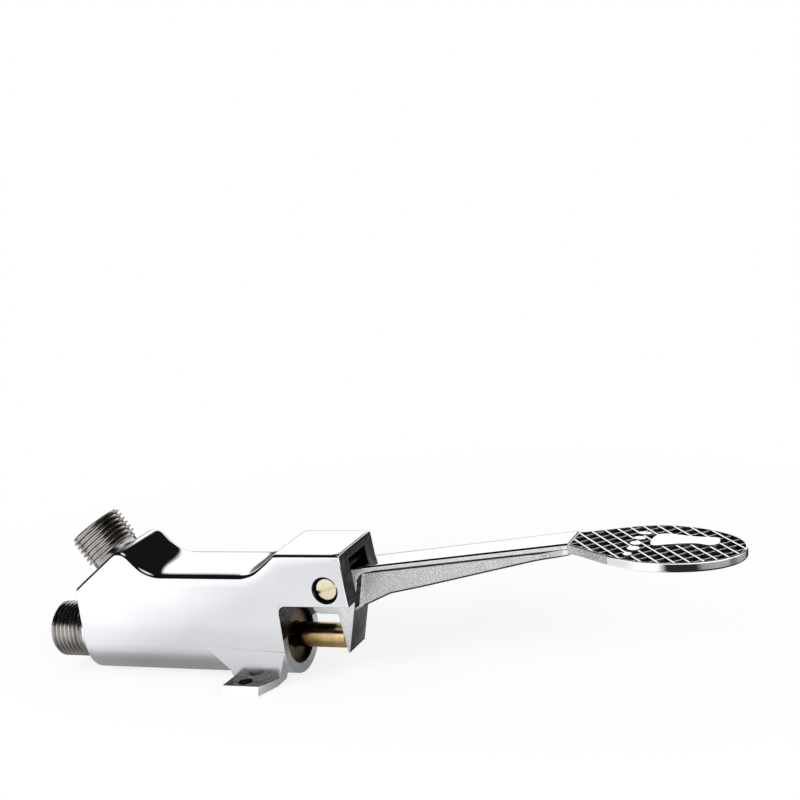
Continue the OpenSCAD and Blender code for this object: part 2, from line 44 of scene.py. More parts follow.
# Body, in millimetres, in the CAD's frame
BODY_R = 14.0
AXIS_Z = 14.5
BACK_X = -68.7
MOUTH_X = 15.5
HOOD_X = 43.4
HOOD_LEAN = math.radians(4.3)
HOOD_Z = 49.3
HOOD_TOP_X = 16.5
HOOD_SLOPE = math.radians(36)
SADDLE_Z = 41.3
SADDLE_R = 14.0
BOSS_SLOPE = math.radians(43)
RIDGE = Vector((-47.0, 50.5))
RIDGE_LIFT = 1.25
RIDGE_R = 5.0
OUTLET_TILT = math.radians(34)
OUTLET_IN = 11.8
CHEEK_Z = 30.5
CUTOUT_R = 3.0
SLOT_W = 14.0
SLOT_X = 20.0
SLOT_ROOF_Z = 45.8
SIDE_BULGE = 0.2
SADDLE_CROWN = 0.3
HOOD_CROWN = 0.2
TOP_EDGE_R = 1.8
HOOD_TOP_EDGE_R = 1.1
BACK_EDGE_R = 0.35
HOOD_EDGE_R = 0.6
HOOD_CORNER_R = 2.0
SLOT_CORNER_R = 2.0
BODY_EDGE = 0.08
RING_STEP = 3.0
CUT_PAST = 9.0
TOOL_SIDES = 64

# Feet
FOOT_Y = 18.0
FOOT_TIP_Y = 23.2
FOOT_T = 3.2
FOOT_HOLE_D = 5.0
FOOT_TIP_HALF = 7.3
FOOT_DRAFT = 0.38
FOOT_LEAN = 0.38
FOOT_BLEND = 6.0
FOOT_REAR_X = -6.6
FOOT_FRONT_X = 10.6
FOOT_HOLE_EDGE = 0.2

# Ports
THREAD_R = 20.955 / 2
THREAD_PITCH = 1.814
THREAD_DEPTH = 1.162
NECK_L = 2.2
INLET_NECK_L = 4.4
SHANK_R = 9.0
SHANK_L = 4.2
INLET_L = 18.1
OUTLET_L = 14.8
PORT_BORE_R = 7.0
INLET_BORE_R = 5.25
SPRING_POCKET_X = -73.5
PORT_FACE = RIDGE - OUTLET_IN * Vector((math.cos(OUTLET_TILT), math.sin(OUTLET_TILT)))

# Water ways; the barrel's bores are points of radius and place along its axis
BORE_LINE = [
    (9.05, -70.0), (9.05, -63.0), (8.25, -63.0), (8.25, -50.15), (5.5, -50.15), (5.5, -46.95), (7.5, -46.95),
    (7.5, -22.5), (10.1, -22.5), (10.1, 15.1), (10.5, 15.5), (10.5, 16.5),
]
DUCT_R = 5.0
POCKET_GAP = 0.05
POCKET_SPARE = 1.5

# Pivot and lever
PIVOT = Vector((35.0, 0.0, 36.6))
PIN_BORE_R = 3.3
PIN_SEAT_R = 4.7
PIN_SEAT_T = 3.6
PIN_SEAT_EDGE = 0.3
PIN_WALL = 2.0
PIN_IN = 1.2
PIN_HEAD_R = 4.1
PIN_HEAD_T = 2.4
PIN_R = 3.25
PIN_SLOT_W = 1.2
PIN_SLOT_TURN = math.radians(18)
HUB_R = 8.0
HUB_W = 13.3
HUB_EDGE = 0.2
HUB_PROUD = 0.04
BLOCK_L = 9.8
BLOCK_H = 11.6
BLOCK_R = 3.0
PIVOT_H = 22.1
HEEL_X = 1.3
HEEL_T = 2.0
HEEL_LOW = 26.2
HEEL_BACK = math.radians(7.2)
HEEL_FRONT = math.radians(14.2)
HEEL_FILLET_R = 5.0
ARM_L = 87.0
ARM_TOP = 4.7
ARM_RISE = math.radians(6.6)
ARM_W = 13.9
ARM_CROWN = 0.15
FLANGE_T = 2.1
WEB_T = 9.0
WEB_ROOT = 13.0
KNEE_L = 21.0
KNEE_H = 11.9
KNEE_R = 9.0
WEB_END = 4.2
WEB_FILLET_R = 3.2
HEEL_CORNER_X = 9.6

# Pedal plate and its tread
PEDAL_L = 57.2
PEDAL_W = 36.5
PEDAL_T = 3.3
PEDAL_WIDE = 29.2
PEDAL_TILT = math.radians(3.4)
PEDAL_DROP = 0.5
PEDAL_FLARE = 1.3
ROOT_HALF = 6.65
TREAD_DEPTH = 0.8
RIDGE_PITCH = 4.2
RIDGE_ANGLE = math.radians(48)
RIDGE_TOP_W = 0.6
RIDGE_FOOT_W = 0.8
LIP_W = 0.6
TREAD_SUNK = 0.2

# Plunger places along the barrel axis
PLUNGER_R = 4.5
PLUNGER_TIP_X = 36.0
PLUNGER_ROD_X = -22.5
STEM_R = 2.5
STEM_X = -57.25
COLLAR_R = 4.0
COLLAR_X = (-53.25, -46.95)
SCREW_HOLE_R = 1.55
SCREW_HOLE_L = 8.0


# Material helpers

def new_material(name):
    material = bpy.data.materials.new(name)
    material.use_nodes = True
    return material, material.node_tree, material.node_tree.nodes["Principled BSDF"]


def texture(tree, kind, scale, stretch=(1, 1, 1), **settings):
    """A texture node in object coordinates, in features per metre, stretched along the axes."""
    coords = tree.nodes.new("ShaderNodeTexCoord")
    mapping = tree.nodes.new("ShaderNodeMapping")
    mapping.inputs["Scale"].default_value = stretch
    tree.links.new(coords.outputs["Object"], mapping.inputs["Vector"])
    node = tree.nodes.new(kind)
    node.inputs["Scale"].default_value = scale
    for key, value in settings.items():
        if key in node.inputs:
            node.inputs[key].default_value = value
        else:
            setattr(node, key, value)
    tree.links.new(mapping.outputs["Vector"], node.inputs["Vector"])
    return node


def ramp(tree, source, socket, low, high, start=0.35, end=0.65):
    """Sends a texture through a colour ramp into a socket, as a colour or a number."""
    node = tree.nodes.new("ShaderNodeValToRGB")
    as_colour = [c if isinstance(c, tuple) else (c, c, c, 1) for c in (low, high)]
    for element, place, colour in zip(node.color_ramp.elements, (start, end), as_colour):
        element.position = place
        element.color = colour
    tree.links.new(source, node.inputs["Fac"])
    tree.links.new(node.outputs["Color"], socket)


def bump(tree, shader, source, strength, distance, before=None):
    node = tree.nodes.new("ShaderNodeBump")
    node.inputs["Strength"].default_value = strength
    node.inputs["Distance"].default_value = distance
    tree.links.new(source, node.inputs["Height"])
    if before is not None:
        tree.links.new(before.outputs["Normal"], node.inputs["Normal"])
    tree.links.new(node.outputs["Normal"], shader.inputs["Normal"])
    return node


def rgb(red, green, blue):
    return (red, green, blue, 1)


def metal(name, low, high, rough_low, rough_high, tone_scale, rough_scale):
    """A metal whose colour and roughness vary softly over the surface."""
    material, tree, shader = new_material(name)
    shader.inputs["Metallic"].default_value = 1
    tone = texture(tree, "ShaderNodeTexNoise", tone_scale, Detail=4)
    ramp(tree, tone.outputs["Fac"], shader.inputs["Base Color"], low, high)
    sheen = texture(tree, "ShaderNodeTexNoise", rough_scale, Detail=3)
    ramp(tree, sheen.outputs["Fac"], shader.inputs["Roughness"], rough_low, rough_high)
    return material, tree, shader


def chrome_polished():
    """Mirror chrome with the faint swell of a hand-polished casting."""
    material, tree, shader = metal("chrome_polished", rgb(0.84, 0.84, 0.86), rgb(0.89, 0.89, 0.9), 0.03, 0.07, 30, 90)
    swell = texture(tree, "ShaderNodeTexNoise", 45, Detail=1)
    grain = texture(tree, "ShaderNodeTexNoise", 1800, Detail=2)
    first = bump(tree, shader, swell.outputs["Fac"], 0.1, 0.0006)
    bump(tree, shader, grain.outputs["Fac"], 0.03, 0.00003, first)
    return material


def chrome_satin():
    """Chrome over a less polished patch, as above the feet."""
    material, tree, shader = metal("chrome_satin", rgb(0.84, 0.84, 0.86), rgb(0.89, 0.89, 0.9), 0.16, 0.24, 30, 200)
    grain = texture(tree, "ShaderNodeTexNoise", 1500, Detail=3)
    bump(tree, shader, grain.outputs["Fac"], 0.04, 0.00004)
    return material


def chrome_cast(name, low, high):
    """Plated sand casting: fine grain with small pits."""
    material, tree, shader = metal(name, low, high, 0.3, 0.5, 2200, 260)
    grain = texture(tree, "ShaderNodeTexNoise", 2600, Detail=5, Roughness=0.6)
    pits = texture(tree, "ShaderNodeTexVoronoi", 1500, Randomness=1.0)
    first = bump(tree, shader, grain.outputs["Fac"], 0.6, 0.0003)
    bump(tree, shader, pits.outputs["Distance"], 0.2, 0.0002, first)
    return material


def cast_dark_shade():
    """Unpolished inner and end faces, dark grey under thin plating, also laid on as painted shade: the mouth's upper
    half, the hood's cutout, slot and end, and the lever's hub top, heel front and web fillets.
    """
    material, tree, shader = metal("cast_dark_shade", rgb(0.018, 0.018, 0.018), rgb(0.06, 0.06, 0.062), 0.3, 0.5, 500, 200)
    grain = texture(tree, "ShaderNodeTexNoise", 1300, Detail=5)
    bump(tree, shader, grain.outputs["Fac"], 0.4, 0.0003)
    return material


def tread_hollow_shade():
    """Hollows of the tread: dark cast metal with bright specks, darkened partly as painted shade; also laid on as
    painted shade along ridge flanks, the figures' edges, the lip's inner wall and the feet's tops.
    """
    material, tree, shader = metal("tread_hollow_shade", rgb(0.012, 0.012, 0.013), rgb(0.2, 0.2, 0.2), 0.22, 0.42, 950, 300)
    grain = texture(tree, "ShaderNodeTexNoise", 1100, Detail=4, Roughness=0.6)
    bump(tree, shader, grain.outputs["Fac"], 0.8, 0.0005)
    return material


def nickel_thread():
    """Dull nickel on cut thread, with brown tarnish and tool streaks."""
    material, tree, shader = metal("nickel_thread", rgb(0.3, 0.28, 0.26), rgb(0.56, 0.53, 0.5), 0.12, 0.22, 90, 300)
    streaks = texture(tree, "ShaderNodeTexNoise", 240, (6, 1, 1), Detail=4)
    bump(tree, shader, streaks.outputs["Fac"], 0.1, 0.0001)
    return material


def brass(name, low, high, rough_low, rough_high, stretch):
    """Turned brass: fine tool lines across the stretch, and soft tarnish."""
    material, tree, shader = metal(name, low, high, rough_low, rough_high, 130, 300)
    lines = texture(tree, "ShaderNodeTexNoise", 300, stretch, Detail=3)
    bump(tree, shader, lines.outputs["Fac"], 0.18, 0.00012)
    return material


def brass_plunger():
    """Turned brass with painted shade that darkens it towards the barrel's mouth."""
    material = brass("brass_turned", rgb(0.6, 0.4, 0.16), rgb(0.85, 0.63, 0.32), 0.14, 0.24, (8, 1, 1))
    tree = material.node_tree
    colour = tree.nodes["Principled BSDF"].inputs["Base Color"]
    coords = tree.nodes.new("ShaderNodeTexCoord")
    split = tree.nodes.new("ShaderNodeSeparateXYZ")
    tree.links.new(coords.outputs["Object"], split.inputs["Vector"])
    along = tree.nodes.new("ShaderNodeMapRange")
    along.inputs["From Min"].default_value = MOUTH_X * MM
    along.inputs["From Max"].default_value = PLUNGER_TIP_X * MM
    tree.links.new(split.outputs["X"], along.inputs["Value"])
    # painted shade: the brass darkens towards the mouth
    mouth_shade = tree.nodes.new("ShaderNodeMix")
    mouth_shade.data_type = "RGBA"
    mouth_shade.blend_type = "MULTIPLY"
    mouth_shade.inputs["Factor"].default_value = 1
    tree.links.new(colour.links[0].from_socket, mouth_shade.inputs["A"])
    ramp(tree, along.outputs["Result"], mouth_shade.inputs["B"], rgb(0.18, 0.14, 0.1), rgb(1, 1, 1), 0.05, 0.75)
    tree.links.new(mouth_shade.outputs["Result"], colour)
    return material


def soft_material(name, low, high, roughness, scale):
    """Rubber or nylon: matt, with a fine moulded grain."""
    material, tree, shader = new_material(name)
    tone = texture(tree, "ShaderNodeTexNoise", scale, Detail=4)
    ramp(tree, tone.outputs["Fac"], shader.inputs["Base Color"], low, high)
    ramp(tree, tone.outputs["Fac"], shader.inputs["Roughness"], roughness, min(1.0, roughness + 0.15))
    bump(tree, shader, tone.outputs["Fac"], 0.2, 0.0002)
    return material


CHROME = chrome_polished()
CAST = chrome_cast("chrome_cast", rgb(0.42, 0.42, 0.42), rgb(0.84, 0.84, 0.84))
# dark cast finish, used mostly as painted shade
DARK_SHADE = cast_dark_shade()
SATIN = chrome_satin()
# dark tread finish, partly painted shade
HOLLOW_SHADE = tread_hollow_shade()
# a lighter copy of the cast finish: pale cast on the duller tread ridges, painted light on the lever's heel sides and
# arm end
PALE_CAST_AND_HIGHLIGHT = chrome_cast("chrome_cast_pale_and_highlight", rgb(0.78, 0.78, 0.79), rgb(0.96, 0.96, 0.96))
# a lighter copy of the cast finish, as painted light on the arm flange's sides
HALF_LIT_CAST = chrome_cast("chrome_cast_half_lit", rgb(0.62, 0.62, 0.62), rgb(0.85, 0.85, 0.85))
NICKEL = nickel_thread()
BRASS_TURNED = brass_plunger()
BRASS_SCREW = brass("brass_screw", rgb(0.78, 0.66, 0.4), rgb(0.95, 0.85, 0.6), 0.22, 0.36, (1, 1, 6))
# brass darkened to near black as painted shade, for the parts inside the barrel's mouth
BRASS_SHADE = brass("brass_plain", rgb(0.04, 0.026, 0.014), rgb(0.15, 0.1, 0.05), 0.28, 0.45, (6, 1, 1))
RUBBER = soft_material("rubber_black", rgb(0.015, 0.015, 0.015), rgb(0.04, 0.04, 0.04), 0.6, 700)
NYLON = soft_material("nylon_white", rgb(0.72, 0.71, 0.67), rgb(0.86, 0.85, 0.81), 0.5, 500)
SPRING_STEEL = brass("spring_steel", rgb(0.42, 0.42, 0.43), rgb(0.66, 0.66, 0.66), 0.2, 0.34, (1, 4, 4))


# Mesh helpers

def turn(point, angle):
    """A point in a plane turned about the origin."""
    c, s = math.cos(angle), math.sin(angle)
    return Vector((point[0] * c - point[1] * s, point[0] * s + point[1] * c))


def fillet(before, corner, after, radius, steps=6):
    """Points of an arc that rounds one corner of an outline in a plane."""
    corner = Vector(corner)
    a = (Vector(before) - corner).normalized()
    b = (Vector(after) - corner).normalized()
    half = math.acos(max(-1, min(1, a.dot(b)))) / 2
    centre = corner + (a + b).normalized() * radius / math.sin(half)
    start = corner + a * radius / math.tan(half) - centre
    sweep = math.pi - 2 * half
    if a.x * b.y - a.y * b.x > 0:
        sweep = -sweep
    return [centre + turn(start, sweep * k / steps) for k in range(steps + 1)]


def rounded_line(points, radii, steps=6):
    """An open outline with its inner corners rounded."""
    out = [Vector(points[0])]
    for before, corner, after, radius in zip(points, points[1:], points[2:], radii):
        out += fillet(before, corner, after, radius, steps) if radius else [Vector(corner)]
    return out + [Vector(points[-1])]


def rounded_loop(points, radii, steps=6):
    """A closed outline with its corners rounded."""
    out = []
    for i, (corner, radius) in enumerate(zip(points, radii)):
        before, after = points[i - 1], points[(i + 1) % len(points)]
        out += fillet(before, corner, after, radius, steps) if radius else [Vector(corner)]
    return out


def closed_curve(points, steps=8):
    """A smooth closed curve through points in a plane."""
    out = []
    count = len(points)
    for i in range(count):
        a, b, c, d = (Vector(points[(i + k) % count]) for k in (-1, 0, 1, 2))
        for k in range(steps):
            t = k / steps
            bend, twist = 2 * a - 5 * b + 4 * c - d, 3 * b - a - 3 * c + d
            out.append(0.5 * (2 * b + (c - a) * t + bend * t * t + twist * t ** 3))
    return out


def piece(name, bm, *materials):
    """A mesh object in millimetres from a bmesh, with its faces turned outwards."""
    bmesh.ops.recalc_face_normals(bm, faces=bm.faces)
    mesh = bpy.data.meshes.new(name)
    bm.to_mesh(mesh)
    bm.free()
    obj = bpy.data.objects.new(name, mesh)
    bpy.context.scene.collection.objects.link(obj)
    for material in materials:
        mesh.materials.append(material)
    return obj


def loft(rings, caps=True):
    """A bmesh skin over closed rings of points, with its two ends filled."""
    bm = bmesh.new()
    made = [[bm.verts.new(p) for p in ring] for ring in rings]
    for low, high in zip(made, made[1:]):
        for i in range(len(low)):
            j = (i + 1) % len(low)
            bm.faces.new((low[i], low[j], high[j], high[i]))
    if caps:
        bm.faces.new(made[0])
        bm.faces.new(made[-1])
    return bm


def lathe(profile, sides=96):
    """A bmesh turned about Z from an outline of (radius, height) points that starts and ends on the axis."""
    circle = [(math.cos(2 * math.pi * k / sides), math.sin(2 * math.pi * k / sides)) for k in range(sides)]
    bm = loft([[Vector((r * c, r * s, z)) for c, s in circle] for r, z in profile], caps=False)
    bmesh.ops.remove_doubles(bm, verts=bm.verts, dist=1e-4)
    bmesh.ops.dissolve_degenerate(bm, edges=bm.edges, dist=1e-4)
    return bm


def prism(outline, low_y, high_y):
    """A bmesh of an outline in X and Z, run along Y."""
    return loft([[Vector((p[0], y, p[1])) for p in outline] for y in (low_y, high_y)])


def turned(line, matrix):
    """A bmesh turned about the matrix's Z from (radius, height) points, closed flat at both ends."""
    bm = lathe([(0, line[0][1])] + line + [(0, line[-1][1])], TOOL_SIDES)
    bmesh.ops.transform(bm, matrix=matrix, verts=bm.verts)
    return bm


def rod(radius, length, matrix, flare=0.0):
    """A bmesh cylinder along the matrix's Z that may widen by a flare, a millimetre before its far end."""
    line = [(radius, 0), (radius, length)]
    if flare:
        line[1:] = [(radius, length - 1 - flare), (radius + flare, length - 1), (radius + flare, length)]
    return turned(line, matrix)


def apply_modifiers(obj):
    """Turns what an object's modifiers make into its own mesh."""
    depsgraph = bpy.context.evaluated_depsgraph_get()
    mesh = bpy.data.meshes.new_from_object(obj.evaluated_get(depsgraph))
    obj.modifiers.clear()
    obj.data = mesh


def combine(obj, bm, operation="DIFFERENCE", material=None):
    """Cuts a bmesh out of an object, or adds it, exactly."""
    tool = piece("tool", bm, *([material] if material else []))
    modifier = obj.modifiers.new("combine", "BOOLEAN")
    modifier.object = tool
    modifier.operation = operation
    modifier.solver = "EXACT"
    modifier.material_mode = "TRANSFER"
    apply_modifiers(obj)
    bpy.data.objects.remove(tool)


def soften(obj, width, segments=2):
    """Rounds the sharp edges of an object."""
    modifier = obj.modifiers.new("edges", "BEVEL")
    modifier.width = width
    modifier.segments = segments
    modifier.limit_method = "ANGLE"
    modifier.angle_limit = math.radians(50)
    modifier.use_clamp_overlap = False
    modifier.miter_outer = "MITER_ARC"
    apply_modifiers(obj)


def paint(obj, choose):
    """Gives each face the material that choose returns for its normal and centre, if it returns one."""
    for polygon in obj.data.polygons:
        material = choose(polygon.normal, polygon.center)
        if material:
            polygon.material_index = obj.data.materials.find(material.name)


def settle(obj, body, slot, *nodes, smooth=math.radians(32)):
    """Brings a piece to metres, smooths it up to an angle, and puts it on its body."""
    obj.data.transform(Matrix.Scale(MM, 4))
    obj.data.shade_smooth()
    bm = bmesh.new()
    bm.from_mesh(obj.data)
    for edge in bm.edges:
        if len(edge.link_faces) == 2:
            edge.smooth = edge.calc_face_angle() < smooth
    bm.to_mesh(obj.data)
    bm.free()
    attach(obj, body)
    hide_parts(*nodes)


ALONG_X = Matrix.Rotation(math.pi / 2, 4, "Y")
ALONG_Y = Matrix.Rotation(-math.pi / 2, 4, "X")


def on_axis(x):
    """The frame whose Z runs along the barrel axis from x."""
    return Matrix.Translation((x, 0, AXIS_Z)) @ ALONG_X


def on_outlet(height=0.0):
    """The frame whose Z runs out along the outlet axis from its face."""
    face = Matrix.Translation((PORT_FACE.x, 0, PORT_FACE.y)) @ Matrix.Rotation(-OUTLET_TILT, 4, "Y")
    return face @ Matrix.Translation((0, 0, height))


# Valve body

def body_top():
    """Side outline of the body's top as points of X and Z."""
    boss_foot = RIDGE.x + (RIDGE.y - SADDLE_Z) / math.tan(BOSS_SLOPE)
    hood_foot = HOOD_TOP_X - (HOOD_Z - SADDLE_Z) / math.tan(HOOD_SLOPE)
    back_z = RIDGE.y - (RIDGE.x - BACK_X) * math.tan(OUTLET_TILT)
    corners = [
        (BACK_X, back_z), (RIDGE.x, RIDGE.y + RIDGE_LIFT), (boss_foot, SADDLE_Z), (hood_foot, SADDLE_Z),
        (HOOD_TOP_X, HOOD_Z), (HOOD_X, HOOD_Z),
    ]
    return rounded_line(corners, [RIDGE_R, SADDLE_R, SADDLE_R, HOOD_CORNER_R], 12)


def height_at(line, x):
    """Height of an outline at x, held level beyond its ends."""
    if x <= line[0].x:
        return line[0].y
    for a, b in zip(line, line[1:]):
        if a.x <= x <= b.x and b.x > a.x:
            return a.y + (b.y - a.y) * (x - a.x) / (b.x - a.x)
    return line[-1].y


def body_ring(x, top_z, inset):
    """Cross-section of the body: a half-round underside, slightly swelled sides and a crowned top."""
    radius = BODY_R - inset
    top = top_z - inset
    on_hood = min(1, max(0, (x - HOOD_TOP_X + 4) / 6))
    edge_r = TOP_EDGE_R + (HOOD_TOP_EDGE_R - TOP_EDGE_R) * on_hood
    flat = radius - edge_r
    hood_share = min(1, max(0, (x - HOOD_TOP_X + 9) / 9))
    rise = min(1, max(0, (x - RIDGE.x) / 4))
    crown = rise * (SADDLE_CROWN + (HOOD_CROWN - SADDLE_CROWN) * hood_share)
    side = []
    for k in range(1, 9):
        share = k / 9
        z = AXIS_Z + (top - edge_r - AXIS_Z) * share
        side.append(Vector((radius + SIDE_BULGE * math.sin(math.pi * share) ** 2, z)))
    edge = [
        Vector((flat + edge_r * math.cos(a), top - edge_r + edge_r * math.sin(a)))
        for a in (math.pi / 2 * k / 6 for k in range(7))
    ]
    half = side + edge
    under = [math.pi * (1 + k / 40) for k in range(41)]
    ring = [Vector((radius * math.cos(a), AXIS_Z + radius * math.sin(a))) for a in under]
    ring += half
    ring += [Vector((y, top + crown * (1 - (y / flat) ** 4))) for y in (flat * (1 - k / 12) for k in range(1, 24))]
    ring += [Vector((-p.x, p.y)) for p in reversed(half)]
    lean = max(0, (x - MOUTH_X) / (HOOD_X - MOUTH_X)) * math.tan(HOOD_LEAN)
    return [Vector((x - lean * max(0, p.y - CHEEK_Z), p.x, p.y)) for p in ring]


def body_shell():
    """The body's outer skin, with rounded ends and rings close enough to keep its shading even."""
    line = body_top()
    turns = [math.pi / 2 * k / 4 for k in range(5)]
    back = [(BACK_X + BACK_EDGE_R * (1 - math.cos(a)), BACK_EDGE_R * (1 - math.sin(a))) for a in turns]
    front = [(HOOD_X - HOOD_EDGE_R * (1 - math.cos(a)), HOOD_EDGE_R * (1 - math.sin(a))) for a in reversed(turns)]
    inner = [(p.x, 0) for p in line if back[-1][0] + 0.1 < p.x < front[0][0] - 0.1]
    ends = [back[-1]] + inner + [front[0]]
    between = []
    for (a, _), (b, _) in zip(ends, ends[1:]):
        count = int((b - a) / RING_STEP)
        between += [(a + (b - a) * k / (count + 1), 0) for k in range(1, count + 1)]
    inner = sorted(inner + between)
    return loft([body_ring(x, height_at(line, x), inset) for x, inset in back + inner + front])


def foot(side):
    """One foot: a flat tip that meets the barrel's upright side in a crease, filleted behind, leaning out in front."""
    rear_line = [(FOOT_REAR_X, z) for z in (0.0, 4.0, 7.0)]
    rear_line += [(-7.2, 9.5), (-8.6, 11.6), (-10.8, 13.3), (-13.0, AXIS_Z)]
    front_line = [(FOOT_FRONT_X + FOOT_LEAN * z, z) for z in (13.0, 10.5, 8.0, 5.5, 3.5, 1.5, 0.0)]

    def fillet_back(y, z):
        """How far the foot's rear runs back along the barrel at a height."""
        barrel_y = math.sqrt(max(0, BODY_R ** 2 - (AXIS_Z - z) ** 2))
        share = min(1, max(0, (y - barrel_y) / max(0.02, BODY_R - barrel_y)))
        reach = FOOT_BLEND * min(1, max(0.2, (z - 3) / 7))
        return reach * (0.5 - math.sin(math.asin(2 * share - 1) / 3))

    rings = []
    for y in (7.0, 8.5, 10.0, 11.0, 11.8, 12.5, 13.0, 13.4, 13.7, 13.9, BODY_R + 0.005):
        rear = [(x - fillet_back(y, z), z) for x, z in rear_line]
        rings.append([Vector((x, side * y, z)) for x, z in rear + front_line])
    start = BODY_R + 0.02
    for k in range(9):
        y = start + (FOOT_TIP_Y - start) * k / 8
        out = (FOOT_TIP_Y - y) / (FOOT_TIP_Y - BODY_R)
        rear_x, front_x = -FOOT_TIP_HALF + 0.5 * out, FOOT_TIP_HALF + 3.3 * out
        draft = FOOT_DRAFT * max(0, 1 - out * 3)
        lean = FOOT_LEAN * out
        low = (0, 0.35, 0.7, 0.9)
        rear = [(rear_x, FOOT_T * share) for share in low] + [(rear_x, FOOT_T), (-5, FOOT_T), (-2, FOOT_T)]
        front = [(2, FOOT_T), (5, FOOT_T), (front_x + lean * FOOT_T, FOOT_T)]
        front += [(front_x + lean * FOOT_T * share, FOOT_T * share) for share in reversed(low)]
        rings.append([Vector((x, side * (y - draft * z), z)) for x, z in rear + front])
    return loft(rings)


def split_mouth(body, height):
    """Cuts the barrel's end face across at a height, so that its upper half can take painted shade."""
    bm = bmesh.new()
    bm.from_mesh(body.data)
    faces = [f for f in bm.faces if abs(f.calc_center_median().x - MOUTH_X) < 0.2 and f.normal.x > 0.9]
    geometry = faces + list({e for f in faces for e in f.edges}) + list({v for f in faces for v in f.verts})
    bmesh.ops.bisect_plane(bm, geom=geometry, plane_co=(0, 0, height), plane_no=(0, 0, 1))
    bm.to_mesh(body.data)
    bm.free()


def mouth_and_slot(body):
    """Cuts the space in front of the barrel's mouth and the lever's slot in the hood."""
    end_x, low_z = HOOD_X + CUT_PAST, CHEEK_Z - 4
    cutout = [(MOUTH_X, CHEEK_Z), (end_x, CHEEK_Z), (end_x, -CUT_PAST), (MOUTH_X, -CUT_PAST)]
    wide = BODY_R + CUT_PAST
    # the cut faces take the dark cast finish as painted shade under the hood
    combine(body, prism(rounded_loop(cutout, [CUTOUT_R, 0, 0, 0]), -wide, wide), material=DARK_SHADE)
    slot = [(SLOT_X, SLOT_ROOF_Z), (end_x, SLOT_ROOF_Z), (end_x, low_z), (SLOT_X, low_z)]
    combine(body, prism(rounded_loop(slot, [SLOT_CORNER_R, 0, 0, 0]), -SLOT_W / 2, SLOT_W / 2), material=DARK_SHADE)


def feet(body):
    """Adds the two feet and drills their screw holes."""
    for side in (-1, 1):
        combine(body, foot(side), "UNION", CHROME)
    for side in (-1, 1):
        hole = Matrix.Translation((0, side * FOOT_Y, -1))
        combine(body, rod(FOOT_HOLE_D / 2, FOOT_T + 2, hole, FOOT_HOLE_EDGE), material=DARK_SHADE)


def bores(body):
    """Cuts the barrel's bores, the outlet's pocket and duct, and the pivot screw's hole and seat."""
    half_step = Matrix.Rotation(math.pi / TOOL_SIDES, 4, "Z")
    combine(body, turned(BORE_LINE, on_axis(0)), material=DARK_SHADE)
    drop = (PORT_FACE.y - AXIS_Z) / math.cos(OUTLET_TILT)
    pocket_r, pocket_l = SHANK_R + POCKET_GAP, SHANK_L + POCKET_SPARE
    outlet_line = [(DUCT_R, -drop), (DUCT_R, -pocket_l), (pocket_r, -pocket_l), (pocket_r, 2)]
    combine(body, turned(outlet_line, on_outlet() @ half_step), material=DARK_SHADE)
    far_end = Matrix.Translation((PIVOT.x, BODY_R - PIN_WALL, PIVOT.z)) @ ALONG_Y.inverted()
    face_l = 2 * BODY_R - PIN_WALL
    seat_l, edge_r = face_l - PIN_SEAT_T, PIN_SEAT_R + PIN_SEAT_EDGE
    pivot_line = [
        (PIN_BORE_R, 0), (PIN_BORE_R, seat_l), (PIN_SEAT_R, seat_l), (PIN_SEAT_R, face_l - PIN_SEAT_EDGE),
        (edge_r, face_l), (edge_r, face_l + 2),
    ]
    combine(body, turned(pivot_line, far_end @ half_step), material=DARK_SHADE)


def valve_body():
    """The body casting: mirror chrome, with dark end and inner faces that are partly painted shade, a dull mouth whose
    upper half is painted shade, and rough tops on its feet painted dark as shade.
    """
    body = piece("body_casting", body_shell(), CHROME, DARK_SHADE)
    mouth_and_slot(body)
    soften(body, BODY_EDGE, segments=1)
    feet(body)
    bores(body)
    for material in (CAST, HOLLOW_SHADE, SATIN):
        body.data.materials.append(material)
    hood_end_x, mouth_shade_z, wall_top_z, near_y = HOOD_X - 2.5, AXIS_Z + 3, AXIS_Z - 2.5, -12.5
    split_mouth(body, mouth_shade_z)

    def finish(normal, centre):
        from_mouth = abs(centre.x - MOUTH_X)
        # painted shade: the hood's front end face, an unpolished end, is darkened
        if centre.x > hood_end_x and normal.x > 0.9:
            return DARK_SHADE
        # painted shade: the end face's upper half under the hood is dark, the lower half plain cast
        if from_mouth < 0.2 and normal.x > 0.9:
            return DARK_SHADE if centre.z > mouth_shade_z else CAST
        if from_mouth < 0.6 and 0.3 < normal.x <= 0.9 and centre.y < near_y:
            return CHROME
        # painted shade: the flat tops of the feet take the dark tread finish
        if normal.z > 0.98 and abs(centre.z - FOOT_T) < 0.2:
            return HOLLOW_SHADE
        if abs(normal.y) > 0.98 and abs(abs(centre.y) - BODY_R) < 0.1 and centre.z < wall_top_z:
            return SATIN
        return None

    paint(body, finish)
    settle(body, "valve", "chrome_body", "valve_body")


# Threaded nipples

def thread_radius(z, angle, low, high):
    """Radius of a helical thread with flat crests and roots, fading at its inner end and bevelled at its outer one."""
    phase = (z / THREAD_PITCH - angle / (2 * math.pi)) % 1
    shape = min(1, max(0, (0.75 - abs(2 * phase - 1)) / 0.5))
    fade = min(1, max(0, (z - low) / THREAD_PITCH))
    radius = THREAD_R - THREAD_DEPTH * (1 - shape * fade)
    return min(radius, THREAD_R - THREAD_DEPTH * 0.9 + (high - z))


